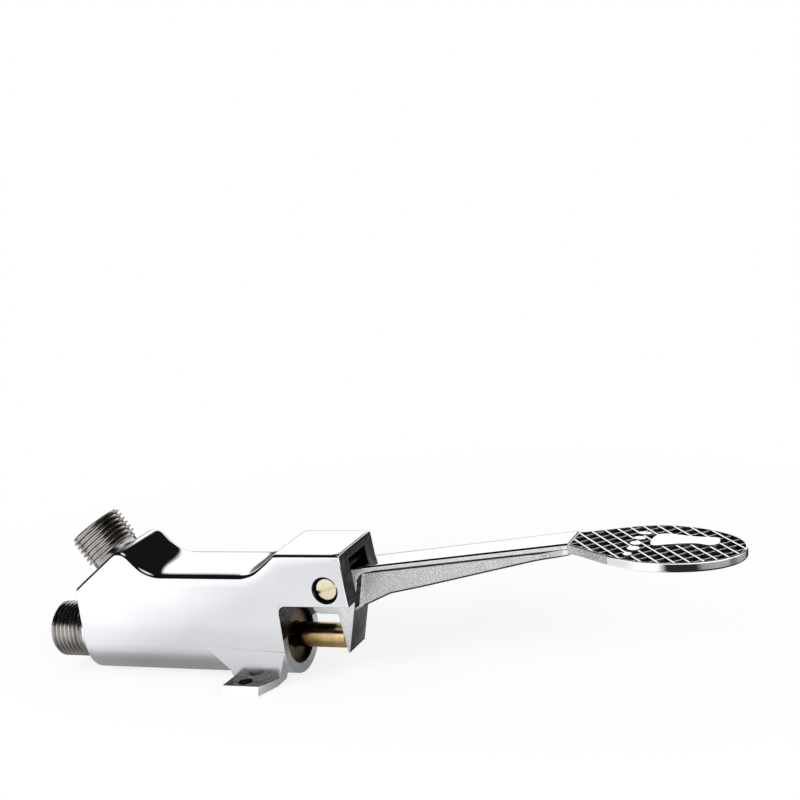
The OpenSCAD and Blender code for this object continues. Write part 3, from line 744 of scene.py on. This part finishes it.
def nipple(name, length, bore_r, matrix, node, pocket=None, neck=NECK_L, neck_finish=None):
    """A nipple with its thread, neck, shank and bore, drawn along Z from the body's face."""
    sides, per_turn = 96, 12
    step = THREAD_PITCH / per_turn
    low, high = neck, length
    rows = int((high - low) / step) + 2 * per_turn + 2
    neck_r = THREAD_R - THREAD_DEPTH
    bm = bmesh.new()

    def vertex(radius, angle, z):
        return bm.verts.new((radius * math.cos(angle), radius * math.sin(angle), z))

    angles = [2 * math.pi * k / sides for k in range(sides + 1)]
    grid = []
    for row in range(rows):
        strip = []
        for angle in angles:
            z = min(high, max(low, low - THREAD_PITCH + row * step + THREAD_PITCH * angle / (2 * math.pi)))
            strip.append(vertex(thread_radius(z, angle, low, high), angle, z))
        grid.append(strip)
    end_r = THREAD_R - THREAD_DEPTH * 0.9
    inside = [(neck_r, low), (neck_r, 0), (SHANK_R, 0), (SHANK_R, -SHANK_L)]
    if pocket:
        inside += [(PORT_BORE_R, -SHANK_L), (PORT_BORE_R, pocket), (bore_r, pocket)]
    else:
        inside += [(bore_r, -SHANK_L)]
    inside += [(bore_r, high - 0.5), (bore_r + 0.5, high), (end_r, high)]
    strips = [[vertex(r, angle, z) for angle in angles] for r, z in inside]
    for rows_made in (grid, strips):
        for a, b in zip(rows_made, rows_made[1:]):
            for i in range(sides):
                bm.faces.new((a[i], a[i + 1], b[i + 1], b[i]))
    bmesh.ops.remove_doubles(bm, verts=bm.verts, dist=1e-3)
    bmesh.ops.dissolve_degenerate(bm, edges=bm.edges, dist=1e-3)
    for face in bm.faces:
        face.material_index = 1 if 0 < face.calc_center_median().z < low else 0
    bmesh.ops.transform(bm, matrix=matrix, verts=bm.verts)
    made = piece(name, bm, NICKEL, neck_finish or NICKEL)
    settle(made, "valve", "nickel_thread", node, smooth=math.radians(38))


# Plunger and pivot screw

def plunger():
    """The plunger with its stem, collar and screw hole, and a slightly domed end."""
    dome_r = 2 * PLUNGER_R
    edge = PLUNGER_R - 0.5
    steps = [edge * (1 - k / 8) for k in range(9)]
    dome = [(r, PLUNGER_TIP_X - dome_r + math.sqrt(dome_r ** 2 - r ** 2)) for r in steps]
    profile = [
        (0, STEM_X + SCREW_HOLE_L), (SCREW_HOLE_R, STEM_X + SCREW_HOLE_L), (SCREW_HOLE_R, STEM_X), (STEM_R, STEM_X),
        (STEM_R, COLLAR_X[0]), (COLLAR_R, COLLAR_X[0]), (COLLAR_R, COLLAR_X[1]), (STEM_R, COLLAR_X[1]),
        (STEM_R, PLUNGER_ROD_X), (PLUNGER_R - 0.4, PLUNGER_ROD_X), (PLUNGER_R, PLUNGER_ROD_X + 0.4),
        (PLUNGER_R, dome[0][1] - 0.5),
    ]
    bm = lathe(profile + dome, 96)
    bmesh.ops.transform(bm, matrix=on_axis(0), verts=bm.verts)
    settle(piece("plunger_rod", bm, BRASS_TURNED), "plunger", "brass_turned", "plunger")


def pivot_screw():
    """The slotted pivot screw, sunk in the near cheek and blind in the far one."""
    end = 2 * BODY_R - PIN_IN - PIN_WALL - 0.35
    profile = [
        (0, -0.15), (PIN_HEAD_R * 0.6, -0.1), (PIN_HEAD_R - 0.35, 0), (PIN_HEAD_R, 0.35), (PIN_HEAD_R, PIN_HEAD_T),
        (PIN_R, PIN_HEAD_T), (PIN_R, end - 0.5), (PIN_R - 0.5, end), (0, end),
    ]
    place = Matrix.Translation((PIVOT.x, -BODY_R + PIN_IN, PIVOT.z)) @ ALONG_Y
    bm = lathe(profile, 72)
    bmesh.ops.transform(bm, matrix=place, verts=bm.verts)
    screw = piece("pivot_screw", bm, BRASS_SCREW)
    half = PIN_SLOT_W / 2
    slot = prism([(-5, -half), (5, -half), (5, half), (-5, half)], -1, PIN_HEAD_T / 2)
    head = Matrix.Translation((PIVOT.x, -BODY_R + PIN_IN, PIVOT.z)) @ Matrix.Rotation(-PIN_SLOT_TURN, 4, "Y")
    bmesh.ops.transform(slot, matrix=head, verts=slot.verts)
    combine(screw, slot, material=BRASS_SCREW)
    settle(screw, "valve", "brass_screw", "pivot_pin")


# Pedal lever, drawn about its pivot

def heel_back(z):
    return HEEL_X - (z + PIVOT_H) * math.tan(HEEL_BACK)


def heel_front(z):
    return HEEL_X + HEEL_T + (z + PIVOT_H) * math.tan(HEEL_FRONT)


def arm_top(x):
    return ARM_TOP + x * math.tan(ARM_RISE)


def arm_width(x):
    """Width of the arm's flange, a hair more than the hub's at its start."""
    start = 23.0
    return HUB_W + 0.04 + (ARM_W - HUB_W) * max(0, x - start) / (ARM_L - start)


def web_width(x):
    """Width of the web, with a fillet on the heel, that spreads to the whole arm near the pedal."""
    share = min(1, max(0, (x - 72) / (ARM_L - 72)))
    spread = share * share * (3 - 2 * share)
    near = min(1, max(0, (x - HEEL_CORNER_X) / WEB_FILLET_R))
    flare = 1 - math.sqrt(max(0, 1 - (1 - near) ** 2))
    return WEB_T + (arm_width(x) - 1.0 - WEB_T) * max(spread, flare)


def web_line():
    """Underside of the web from its root on the heel over the knee to the pedal."""
    root = (heel_front(-WEB_ROOT), -WEB_ROOT)
    knee = (KNEE_L, arm_top(KNEE_L) - KNEE_H)
    return rounded_line([root, knee, (ARM_L + 2, arm_top(ARM_L + 2) - WEB_END)], [KNEE_R], 12)


def arm_depth(x, line):
    """Depth of the arm's web below its top."""
    return arm_top(x) - (-WEB_ROOT if x <= line[0].x else height_at(line, x))


def lever_hub():
    """Hub, heel and the fillet under the arm; its top lies inside the arm's flange."""
    reach, buried = 5.5, 0.8
    slope = math.tan(ARM_RISE)
    flange_z = ARM_TOP - FLANGE_T
    corner_x = (HEEL_X + HEEL_T + (flange_z + PIVOT_H) * math.tan(HEEL_FRONT)) / (1 - slope * math.tan(HEEL_FRONT))
    corner = (corner_x, flange_z + corner_x * slope)
    end = (corner_x + reach, flange_z + (corner_x + reach) * slope)
    outline = [
        (-BLOCK_L, ARM_TOP + 1.3), (-BLOCK_L, -BLOCK_H), (heel_back(-BLOCK_H), -BLOCK_H),
        (heel_back(-HEEL_LOW), -HEEL_LOW), (heel_front(-HEEL_LOW), -HEEL_LOW), corner, end,
        (end[0], end[1] + buried), (0, flange_z + buried),
    ]
    radii = [BLOCK_R, BLOCK_R, 0.8, 0, 0, HEEL_FILLET_R, 0, 0, 0]
    form = prism(rounded_loop(outline, radii, 8), -HUB_W / 2, HUB_W / 2)
    hub = piece("lever_cast", form, CAST, CHROME, DARK_SHADE, PALE_CAST_AND_HIGHLIGHT, HALF_LIT_CAST)
    soften(hub, HUB_EDGE)
    return hub


def arm_ring(x, line):
    """Section of the arm across its length: a top flange over a web, with a fillet between them."""
    half, web = arm_width(x) / 2, web_width(x) / 2
    depth = arm_depth(x, line)
    spare = depth - FLANGE_T
    fillet_r = min(1.6, spare * 0.5, half - web - 0.55)
    edge_r, foot_r = 0.45, min(1.2, spare * 0.35)
    outline = [(half * 0.85, 0), (half, 0), (half, -FLANGE_T), (web, -FLANGE_T), (web, -depth), (0, -depth)]
    right = [Vector((half * 0.85 * k / 6, 0)) for k in range(6)]
    right += rounded_line(outline, [0.8, edge_r, max(0.05, fillet_r), foot_r], 5)
    for p in right:
        p.y -= ARM_CROWN * (p.x / half) ** 4 if p.y > -0.9 else 0
    left = [Vector((-p.x, p.y)) for p in reversed(right[1:-1])]
    top = arm_top(x)
    slant = math.tan(HEEL_FRONT) * max(0, 1 - (x - HEEL_CORNER_X) / 22)
    return [Vector((x + slant * min(0, p.y + FLANGE_T), p.x, top + p.y)) for p in right + left]


def lever_arm():
    line = web_line()
    start, blend = HEEL_CORNER_X - 4, KNEE_L + 8
    xs = [start + (blend - start) * k / 40 for k in range(40)] + [blend + (ARM_L - blend) * k / 30 for k in range(31)]
    return loft([arm_ring(x, line) for x in xs])


def lever_casting():
    """Hub and arm as one casting: polished on top, with painted shade on the hub's top, in front of the heel and in
    the web's fillets, painted light on the heel's sides, the flange's sides and the arm's end, and grainy cast
    elsewhere.
    """
    lever = lever_hub()
    across = Matrix.Translation((0, -HUB_W / 2 - HUB_PROUD, 0)) @ ALONG_Y
    combine(lever, rod(HUB_R, HUB_W + 2 * HUB_PROUD, across), "UNION", CAST)
    combine(lever, lever_arm(), "UNION", CAST)
    bore = Matrix.Translation((0, -HUB_W / 2 - 1, 0)) @ ALONG_Y
    combine(lever, rod(PIN_BORE_R, HUB_W + 2, bore), material=DARK_SHADE)

    def finish(normal, centre):
        aside = abs(normal.y)
        # painted shade on the hub's top inside the hood's slot; chrome on the arm's top
        if normal.z > 0.4:
            return DARK_SHADE if centre.x < 7 else CHROME
        # painted shade on the heel's front face; chrome on its edges
        if centre.x < 9 and centre.z < -8 and aside < 0.97:
            return DARK_SHADE if aside < 0.2 and normal.x > 0.5 else CHROME
        # painted shade in the web's fillet beside the heel and in the fillets under the arm
        if centre.x < 16 and normal.x > 0.35 or centre.x > 9 and -0.95 < normal.z < -0.45:
            return DARK_SHADE
        # painted light on the heel's flat sides
        if centre.x < HEEL_CORNER_X:
            return PALE_CAST_AND_HIGHLIGHT if aside >= 0.97 else CAST
        # painted highlight on the arm's end where it turns into the pedal
        if centre.x > ARM_L - 2:
            return PALE_CAST_AND_HIGHLIGHT
        # painted light on the flange's sides; plain cast on the web
        return HALF_LIT_CAST if centre.z > arm_top(centre.x) - FLANGE_T - 0.2 else CAST

    paint(lever, finish)
    return lever


def pedal_half(x):
    """Half the plate's width: flaring from the arm, then a half oval."""
    if x < PEDAL_WIDE:
        return ROOT_HALF + (PEDAL_W / 2 - ROOT_HALF) * math.sin(math.pi / 2 * x / PEDAL_WIDE) ** PEDAL_FLARE
    return PEDAL_W / 2 * math.sqrt(max(0, 1 - ((x - PEDAL_WIDE) / (PEDAL_L - PEDAL_WIDE)) ** 2))


def pedal_outline(inset=0.0):
    """The plate's outline in plan, drawn in by an inset along its normals."""
    steps = 40
    xs = [PEDAL_WIDE * k / steps for k in range(steps)]
    xs += [PEDAL_WIDE + (PEDAL_L - PEDAL_WIDE) * math.sin(math.pi / 2 * k / steps) for k in range(steps)]
    near = [Vector((x, -pedal_half(x))) for x in xs] + [Vector((PEDAL_L, 0))]
    loop = near + [Vector((p.x, -p.y)) for p in reversed(near[:-1])]
    out = []
    for i, p in enumerate(loop):
        tangent = (loop[(i + 1) % len(loop)] - loop[i - 1]).normalized()
        out.append(p - inset * Vector((tangent.y, -tangent.x)))
    return out


def pedal_matrix():
    place = Matrix.Translation((ARM_L, 0, arm_top(ARM_L) - PEDAL_DROP))
    return place @ Matrix.Rotation(PEDAL_TILT, 4, "Y")


def pedal_plate():
    """The plate with rounded edges, a lip and the sunk floor of its tread."""
    floor = -TREAD_DEPTH
    layers = [
        (-PEDAL_T, 0.8), (-PEDAL_T + 0.1, 0.4), (-PEDAL_T + 0.35, 0.1), (-PEDAL_T + 0.7, 0), (-PEDAL_T + 0.8, 0),
        (-0.45, 0), (-0.35, 0), (-0.1, 0.1), (0, 0.35), (0, LIP_W), (floor, LIP_W + 0.05),
    ]
    plate = piece(
        "pedal_plate", loft([[Vector((p.x, p.y, z)) for p in pedal_outline(inset)] for z, inset in layers]),
        CHROME, HOLLOW_SHADE, CAST,
    )
    cast_end, lip_low = 15.0, -0.5

    def finish(normal, centre):
        inward = normal.x * (centre.x - PEDAL_WIDE) + normal.y * centre.y < -0.5
        # the tread's floor and the lip's inner wall take the dark hollow finish, partly as painted shade
        if normal.z > 0.9:
            return HOLLOW_SHADE if centre.z < lip_low else CHROME
        if inward and centre.z > floor:
            return HOLLOW_SHADE
        return CAST if centre.x < cast_end or normal.z < -0.9 else CHROME

    paint(plate, finish)
    return plate


def clip(point, direction, outline):
    """Where a line enters and leaves a convex outline, or None."""
    crossings = []
    for a, b in zip(outline, outline[1:] + outline[:1]):
        edge = b - a
        under = direction.x * edge.y - direction.y * edge.x
        if abs(under) < 1e-9:
            continue
        share = ((a.x - point.x) * direction.y - (a.y - point.y) * direction.x) / under
        if 0 <= share < 1:
            crossings.append(((a.x - point.x) * edge.y - (a.y - point.y) * edge.x) / under)
    if len(crossings) < 2:
        return None
    return point + direction * min(crossings), point + direction * max(crossings)


def tread_ridges():
    """Two families of crossing ridges with flanks painted dark as shade; one is lower and duller than the other."""
    outline = pedal_outline(LIP_W - 0.1)
    bm = bmesh.new()
    reach = int(PEDAL_L / RIDGE_PITCH) + 2
    bright, shaded_flank, dull = range(3)
    foot_z = -TREAD_DEPTH - TREAD_SUNK
    for sign, top, crest in ((1, -0.15, dull), (-1, -0.02, bright)):
        section = [(-RIDGE_FOOT_W, foot_z), (-RIDGE_TOP_W, top), (RIDGE_TOP_W, top), (RIDGE_FOOT_W, foot_z)]
        direction = Vector((math.cos(RIDGE_ANGLE), sign * math.sin(RIDGE_ANGLE)))
        normal = Vector((-direction.y, direction.x))
        for k in range(-reach, reach + 1):
            rails = []
            for offset, z in section:
                ends = clip(normal * (k * RIDGE_PITCH + offset / 2), direction, outline)
                if ends:
                    rails.append([bm.verts.new((p.x, p.y, z)) for p in ends])
            if len(rails) < 4:
                continue
            for i, (a, b) in enumerate(zip(rails, rails[1:] + rails[:1])):
                bm.faces.new((a[0], a[1], b[1], b[0])).material_index = crest if i == 1 else shaded_flank
            bm.faces.new([r[0] for r in rails])
            bm.faces.new([r[1] for r in reversed(rails)])
    loose = [v for v in bm.verts if not v.link_faces]
    bmesh.ops.delete(bm, geom=loose, context="VERTS")
    return piece("tread_ridges", bm, CHROME, HOLLOW_SHADE, PALE_CAST_AND_HIGHLIGHT)


def island(outline, top):
    """A raised flat figure on the tread with a rounded edge."""
    centre = sum(outline, Vector((0, 0))) / len(outline)
    layers = [(-TREAD_DEPTH - TREAD_SUNK, 1.02), (top - 0.12, 1.0), (top - 0.03, 0.992), (top, 0.98), (top, 0.95)]
    return loft([[Vector((*(centre + (p - centre) * share), z)) for p in outline] for z, share in layers])


def tread_figures():
    """A plain foot figure on the tread: a sole and five toes."""
    sole = closed_curve([
        (25.7, 2.8), (26.3, 6.8), (28.5, 9.1), (33.8, 8.7), (37.4, 8.0), (42.1, 7.9), (46.6, 7.9), (47.5, 4.6),
        (47.3, 1.5), (45.0, 0.4), (40.6, 1.3), (35.7, 0.4), (31.4, -1.3), (28.0, -2.9), (26.6, -2.1), (26.0, -0.3),
    ])
    toes = [
        (22.0, 8.6, 2.4, 1.3), (21.6, 3.7, 2.0, 1.6), (21.5, -1.3, 1.9, 1.8), (21.9, -6.3, 2.1, 2.0),
        (21.4, -11.8, 1.4, 1.5),
    ]
    bm = island(sole, 0.25)
    angles = [2 * math.pi * k / 32 for k in range(32)]
    for x, y, length, width in toes:
        toe = island([Vector((x + length * math.cos(a), y + width * math.sin(a))) for a in angles], 0.2)
        mesh = bpy.data.meshes.new("toe")
        toe.to_mesh(mesh)
        toe.free()
        bm.from_mesh(mesh)
        bpy.data.meshes.remove(mesh)
    figures = piece("tread_figures", bm, CHROME, HOLLOW_SHADE)
    # painted shade: the figures' edges are dark, their tops chrome
    paint(figures, lambda normal, centre: CHROME if normal.z > 0.5 else HOLLOW_SHADE)
    return figures


def pedal_lever():
    """The lever's casting with the pedal plate and its tread, all on the pedal's body."""
    parts = [lever_casting()]
    for made in (pedal_plate(), tread_ridges(), tread_figures()):
        made.data.transform(pedal_matrix())
        parts.append(made)
    for made in parts:
        made.data.transform(Matrix.Translation(PIVOT))
        settle(made, "pedal", "chrome_lever", "pedal_lever")


valve_body()
INLET_PLACE = Matrix.Translation((BACK_X, 0, AXIS_Z)) @ ALONG_X.inverted()
nipple(
    "inlet_thread", INLET_L, INLET_BORE_R, INLET_PLACE, "inlet_nipple", BACK_X - SPRING_POCKET_X, INLET_NECK_L, CHROME
)
nipple("outlet_thread", OUTLET_L, PORT_BORE_R, on_outlet(), "outlet_nipple")
plunger()
pivot_screw()
pedal_lever()


# Finish of the CAD nodes that stay in sight or inside

# the brass inside the barrel takes the brass darkened as painted shade
NODE_FINISH = {
    "inlet_seal": RUBBER, "outlet_seal": RUBBER, "seat_ring": BRASS_SHADE, "gland_sleeve": BRASS_SHADE,
    "sleeve_ring_front": RUBBER, "sleeve_ring_rear": RUBBER, "stem_ring_front": RUBBER, "stem_ring_rear": RUBBER,
    "gland_washer": NYLON, "gland_nut": BRASS_SHADE, "valve_disc": RUBBER, "disc_holder": BRASS_SHADE,
    "disc_washer": BRASS_SHADE, "disc_screw": BRASS_SHADE, "return_spring": SPRING_STEEL,
}
for node, material in NODE_FINISH.items():
    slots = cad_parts[node].data.materials
    slots.clear()
    slots.append(material)


# Floor, world, lights and camera

def graph_ramp(tree, source, stops):
    """A brightness read off stops over a number, level beyond the first and last of them."""
    low, high = stops[0][0], stops[-1][0]
    span = tree.nodes.new("ShaderNodeMapRange")
    span.inputs["From Min"].default_value = low
    span.inputs["From Max"].default_value = high
    tree.links.new(source, span.inputs["Value"])
    node = tree.nodes.new("ShaderNodeValToRGB")
    elements = node.color_ramp.elements
    while len(elements) < len(stops):
        elements.new(0.5)
    for element, (place, value) in zip(elements, stops):
        element.position = (place - low) / (high - low)
        element.color = rgb(value, value, value)
    tree.links.new(span.outputs["Result"], node.inputs["Fac"])
    return node.outputs["Color"]


def number(tree, operation, first, second):
    """The outcome of a sum on two sockets, or on a socket and a constant."""
    node = tree.nodes.new("ShaderNodeMath")
    node.operation = operation
    tree.links.new(first, node.inputs[0])
    if isinstance(second, (int, float)):
        node.inputs[1].default_value = second
    else:
        tree.links.new(second, node.inputs[1])
    return node.outputs["Value"]


def pale_floor():
    """A white floor with a faint shadow; for reflections it glows in a painted pattern: grey close to the valve as
    painted shade, dark behind it and in a band to its right, and white or brighter elsewhere.
    """
    bm = bmesh.new()
    bmesh.ops.create_grid(bm, x_segments=1, y_segments=1, size=4)
    mesh = bpy.data.meshes.new("floor")
    bm.to_mesh(mesh)
    bm.free()
    floor = bpy.data.objects.new("floor", mesh)
    floor.location.z = -0.0002
    bpy.context.scene.collection.objects.link(floor)
    material, tree, shader = new_material("floor_pale")
    shader.inputs["Base Color"].default_value = rgb(0.88, 0.88, 0.88)
    shader.inputs["Roughness"].default_value = 0.9
    shader.inputs["Specular IOR Level"].default_value = 0.1
    coords = tree.nodes.new("ShaderNodeTexCoord")
    split = tree.nodes.new("ShaderNodeSeparateXYZ")
    tree.links.new(coords.outputs["Object"], split.inputs["Vector"])
    # painted reflection: how bright reflections see the floor, across and along it
    depth_stops = [
        (-0.065, 1.2), (-0.055, 1.08), (-0.04, 1.02), (-0.028, 0.93), (-0.023, 0.78), (-0.019, 0.58), (-0.0135, 0.42),
        (0.0, 0.38), (0.0135, 0.42), (0.023, 0.7), (0.045, 1.0), (0.13, 1.05), (0.2, 0.12),
    ]
    side_stops = [
        (-0.1, 1.0), (-0.05, 0.74), (0.02, 0.74), (0.07, 1.0), (0.14, 1.0), (0.16, 0.02), (0.225, 0.02), (0.24, 0.3),
        (0.275, 0.4), (0.288, 0.6), (0.3, 1.6),
    ]
    depth = graph_ramp(tree, split.outputs["Y"], depth_stops)
    side = graph_ramp(tree, split.outputs["X"], side_stops)
    tone = number(tree, "MULTIPLY", depth, side)
    painted_reflection = tree.nodes.new("ShaderNodeEmission")
    tree.links.new(tone, painted_reflection.inputs["Strength"])
    painted_reflection.inputs["Color"].default_value = rgb(0.97, 0.985, 1.0)
    length = tree.nodes.new("ShaderNodeVectorMath")
    length.operation = "LENGTH"
    tree.links.new(coords.outputs["Object"], length.inputs[0])
    white_share = graph_ramp(tree, length.outputs["Value"], [(0.1, 0.8), (0.3, 1.0)])
    glow = tree.nodes.new("ShaderNodeEmission")
    path = tree.nodes.new("ShaderNodeLightPath")
    camera_share = number(tree, "MULTIPLY", path.outputs["Is Camera Ray"], white_share)
    lit = tree.nodes.new("ShaderNodeMixShader")
    tree.links.new(camera_share, lit.inputs["Fac"])
    tree.links.new(shader.outputs["BSDF"], lit.inputs[1])
    tree.links.new(glow.outputs["Emission"], lit.inputs[2])
    mix = tree.nodes.new("ShaderNodeMixShader")
    tree.links.new(path.outputs["Is Glossy Ray"], mix.inputs["Fac"])
    tree.links.new(lit.outputs["Shader"], mix.inputs[1])
    tree.links.new(painted_reflection.outputs["Emission"], mix.inputs[2])
    tree.links.new(mix.outputs["Shader"], tree.nodes["Material Output"].inputs["Surface"])
    mesh.materials.append(material)


def studio_world():
    """White all round for the camera; for reflections white walls under a dark ceiling, as in a product tent."""
    world = bpy.data.worlds.new("studio")
    bpy.context.scene.world = world
    world.use_nodes = True
    tree = world.node_tree
    tree.nodes.clear()
    coords = tree.nodes.new("ShaderNodeTexCoord")
    split = tree.nodes.new("ShaderNodeSeparateXYZ")
    tree.links.new(coords.outputs["Generated"], split.inputs["Vector"])
    stops = [(-1.0, 0.8), (0.0, 1.05), (0.15, 1.2), (0.38, 1.2), (0.46, 0.008), (0.89, 0.006), (0.95, 0.7), (1.0, 0.9)]
    # The dark comes lower far to the left, and stays higher a little left of the middle
    left = number(tree, "MULTIPLY", split.outputs["X"], -1)
    beyond = number(tree, "MAXIMUM", number(tree, "SUBTRACT", left, 0.7), 0)
    aside = number(tree, "ABSOLUTE", number(tree, "ADD", split.outputs["X"], 0.3), 0)
    ahead = number(tree, "MAXIMUM", number(tree, "ADD", number(tree, "MULTIPLY", aside, -1), 0.25), 0)
    height = number(tree, "ADD", split.outputs["Z"], number(tree, "MULTIPLY", beyond, 2.0))
    height = number(tree, "SUBTRACT", height, number(tree, "MULTIPLY", ahead, 0.25))
    tone = graph_ramp(tree, height, stops)
    # A dark skirting behind the valve, which draws the far edges of its tops
    skirting = graph_ramp(tree, split.outputs["Z"], [(0.0, 0.9), (0.1, 0.8), (0.16, 0.1), (0.175, 0.0)])
    behind = graph_ramp(tree, split.outputs["Y"], [(0.7, 0.0), (0.82, 1.0)])
    shade = number(tree, "MULTIPLY", skirting, behind)
    left_over = number(tree, "ADD", number(tree, "MULTIPLY", shade, -1), 1)
    tone = number(tree, "MULTIPLY", tone, left_over)
    path = tree.nodes.new("ShaderNodeLightPath")
    walls = tree.nodes.new("ShaderNodeBackground")
    tree.links.new(tone, walls.inputs["Color"])
    plain = tree.nodes.new("ShaderNodeBackground")
    plain.inputs["Color"].default_value = rgb(0.62, 0.62, 0.62)
    white = tree.nodes.new("ShaderNodeBackground")
    white.inputs["Color"].default_value = rgb(1, 1, 1)
    first = tree.nodes.new("ShaderNodeMixShader")
    second = tree.nodes.new("ShaderNodeMixShader")
    tree.links.new(path.outputs["Is Glossy Ray"], first.inputs["Fac"])
    tree.links.new(plain.outputs["Background"], first.inputs[1])
    tree.links.new(walls.outputs["Background"], first.inputs[2])
    tree.links.new(path.outputs["Is Camera Ray"], second.inputs["Fac"])
    tree.links.new(first.outputs["Shader"], second.inputs[1])
    tree.links.new(white.outputs["Background"], second.inputs[2])
    out = tree.nodes.new("ShaderNodeOutputWorld")
    tree.links.new(second.outputs["Shader"], out.inputs["Surface"])


def lamp(name, place, target, size, power):
    """A soft lamp aimed at a target, which reflections don't show."""
    data = bpy.data.lights.new(name, "AREA")
    data.shape = "RECTANGLE"
    data.size, data.size_y = size
    data.energy = power
    obj = bpy.data.objects.new(name, data)
    obj.visible_glossy = False
    obj.location = place
    obj.rotation_euler = (Vector(target) - Vector(place)).to_track_quat("-Z", "Y").to_euler()
    bpy.context.scene.collection.objects.link(obj)


def photo_camera():
    """The camera that sees the valve as photographed: swung, raised and rolled, with its lens in millimetres."""
    swung, raised, rolled = math.radians(24.344), math.radians(12.559), math.radians(7.801)
    back = Vector((math.sin(swung) * math.cos(raised), -math.cos(swung) * math.cos(raised), math.sin(raised)))
    level = Vector((math.cos(swung), math.sin(swung), 0))
    upright = back.cross(level)
    right = level * math.cos(rolled) - upright * math.sin(rolled)
    up = level * math.sin(rolled) + upright * math.cos(rolled)
    data = bpy.data.cameras.new("camera")
    data.lens = 72.0
    data.sensor_width = 36.0
    data.clip_start = 0.01
    camera = bpy.data.objects.new("camera", data)
    place = Vector((283.56, -479.13, 217.12)) * MM
    camera.matrix_world = Matrix.Translation(place) @ Matrix((right, up, back)).transposed().to_4x4()
    bpy.context.scene.collection.objects.link(camera)
    bpy.context.scene.camera = camera


pale_floor()
studio_world()
lamp("key", (-0.55, -0.75, 0.55), (0.0, 0, 0.03), (0.6, 0.5), 9)
lamp("fill", (0.75, -0.5, 0.35), (0.05, 0, 0.03), (0.5, 0.4), 4)
photo_camera()
bpy.context.scene.view_settings.view_transform = "Standard"
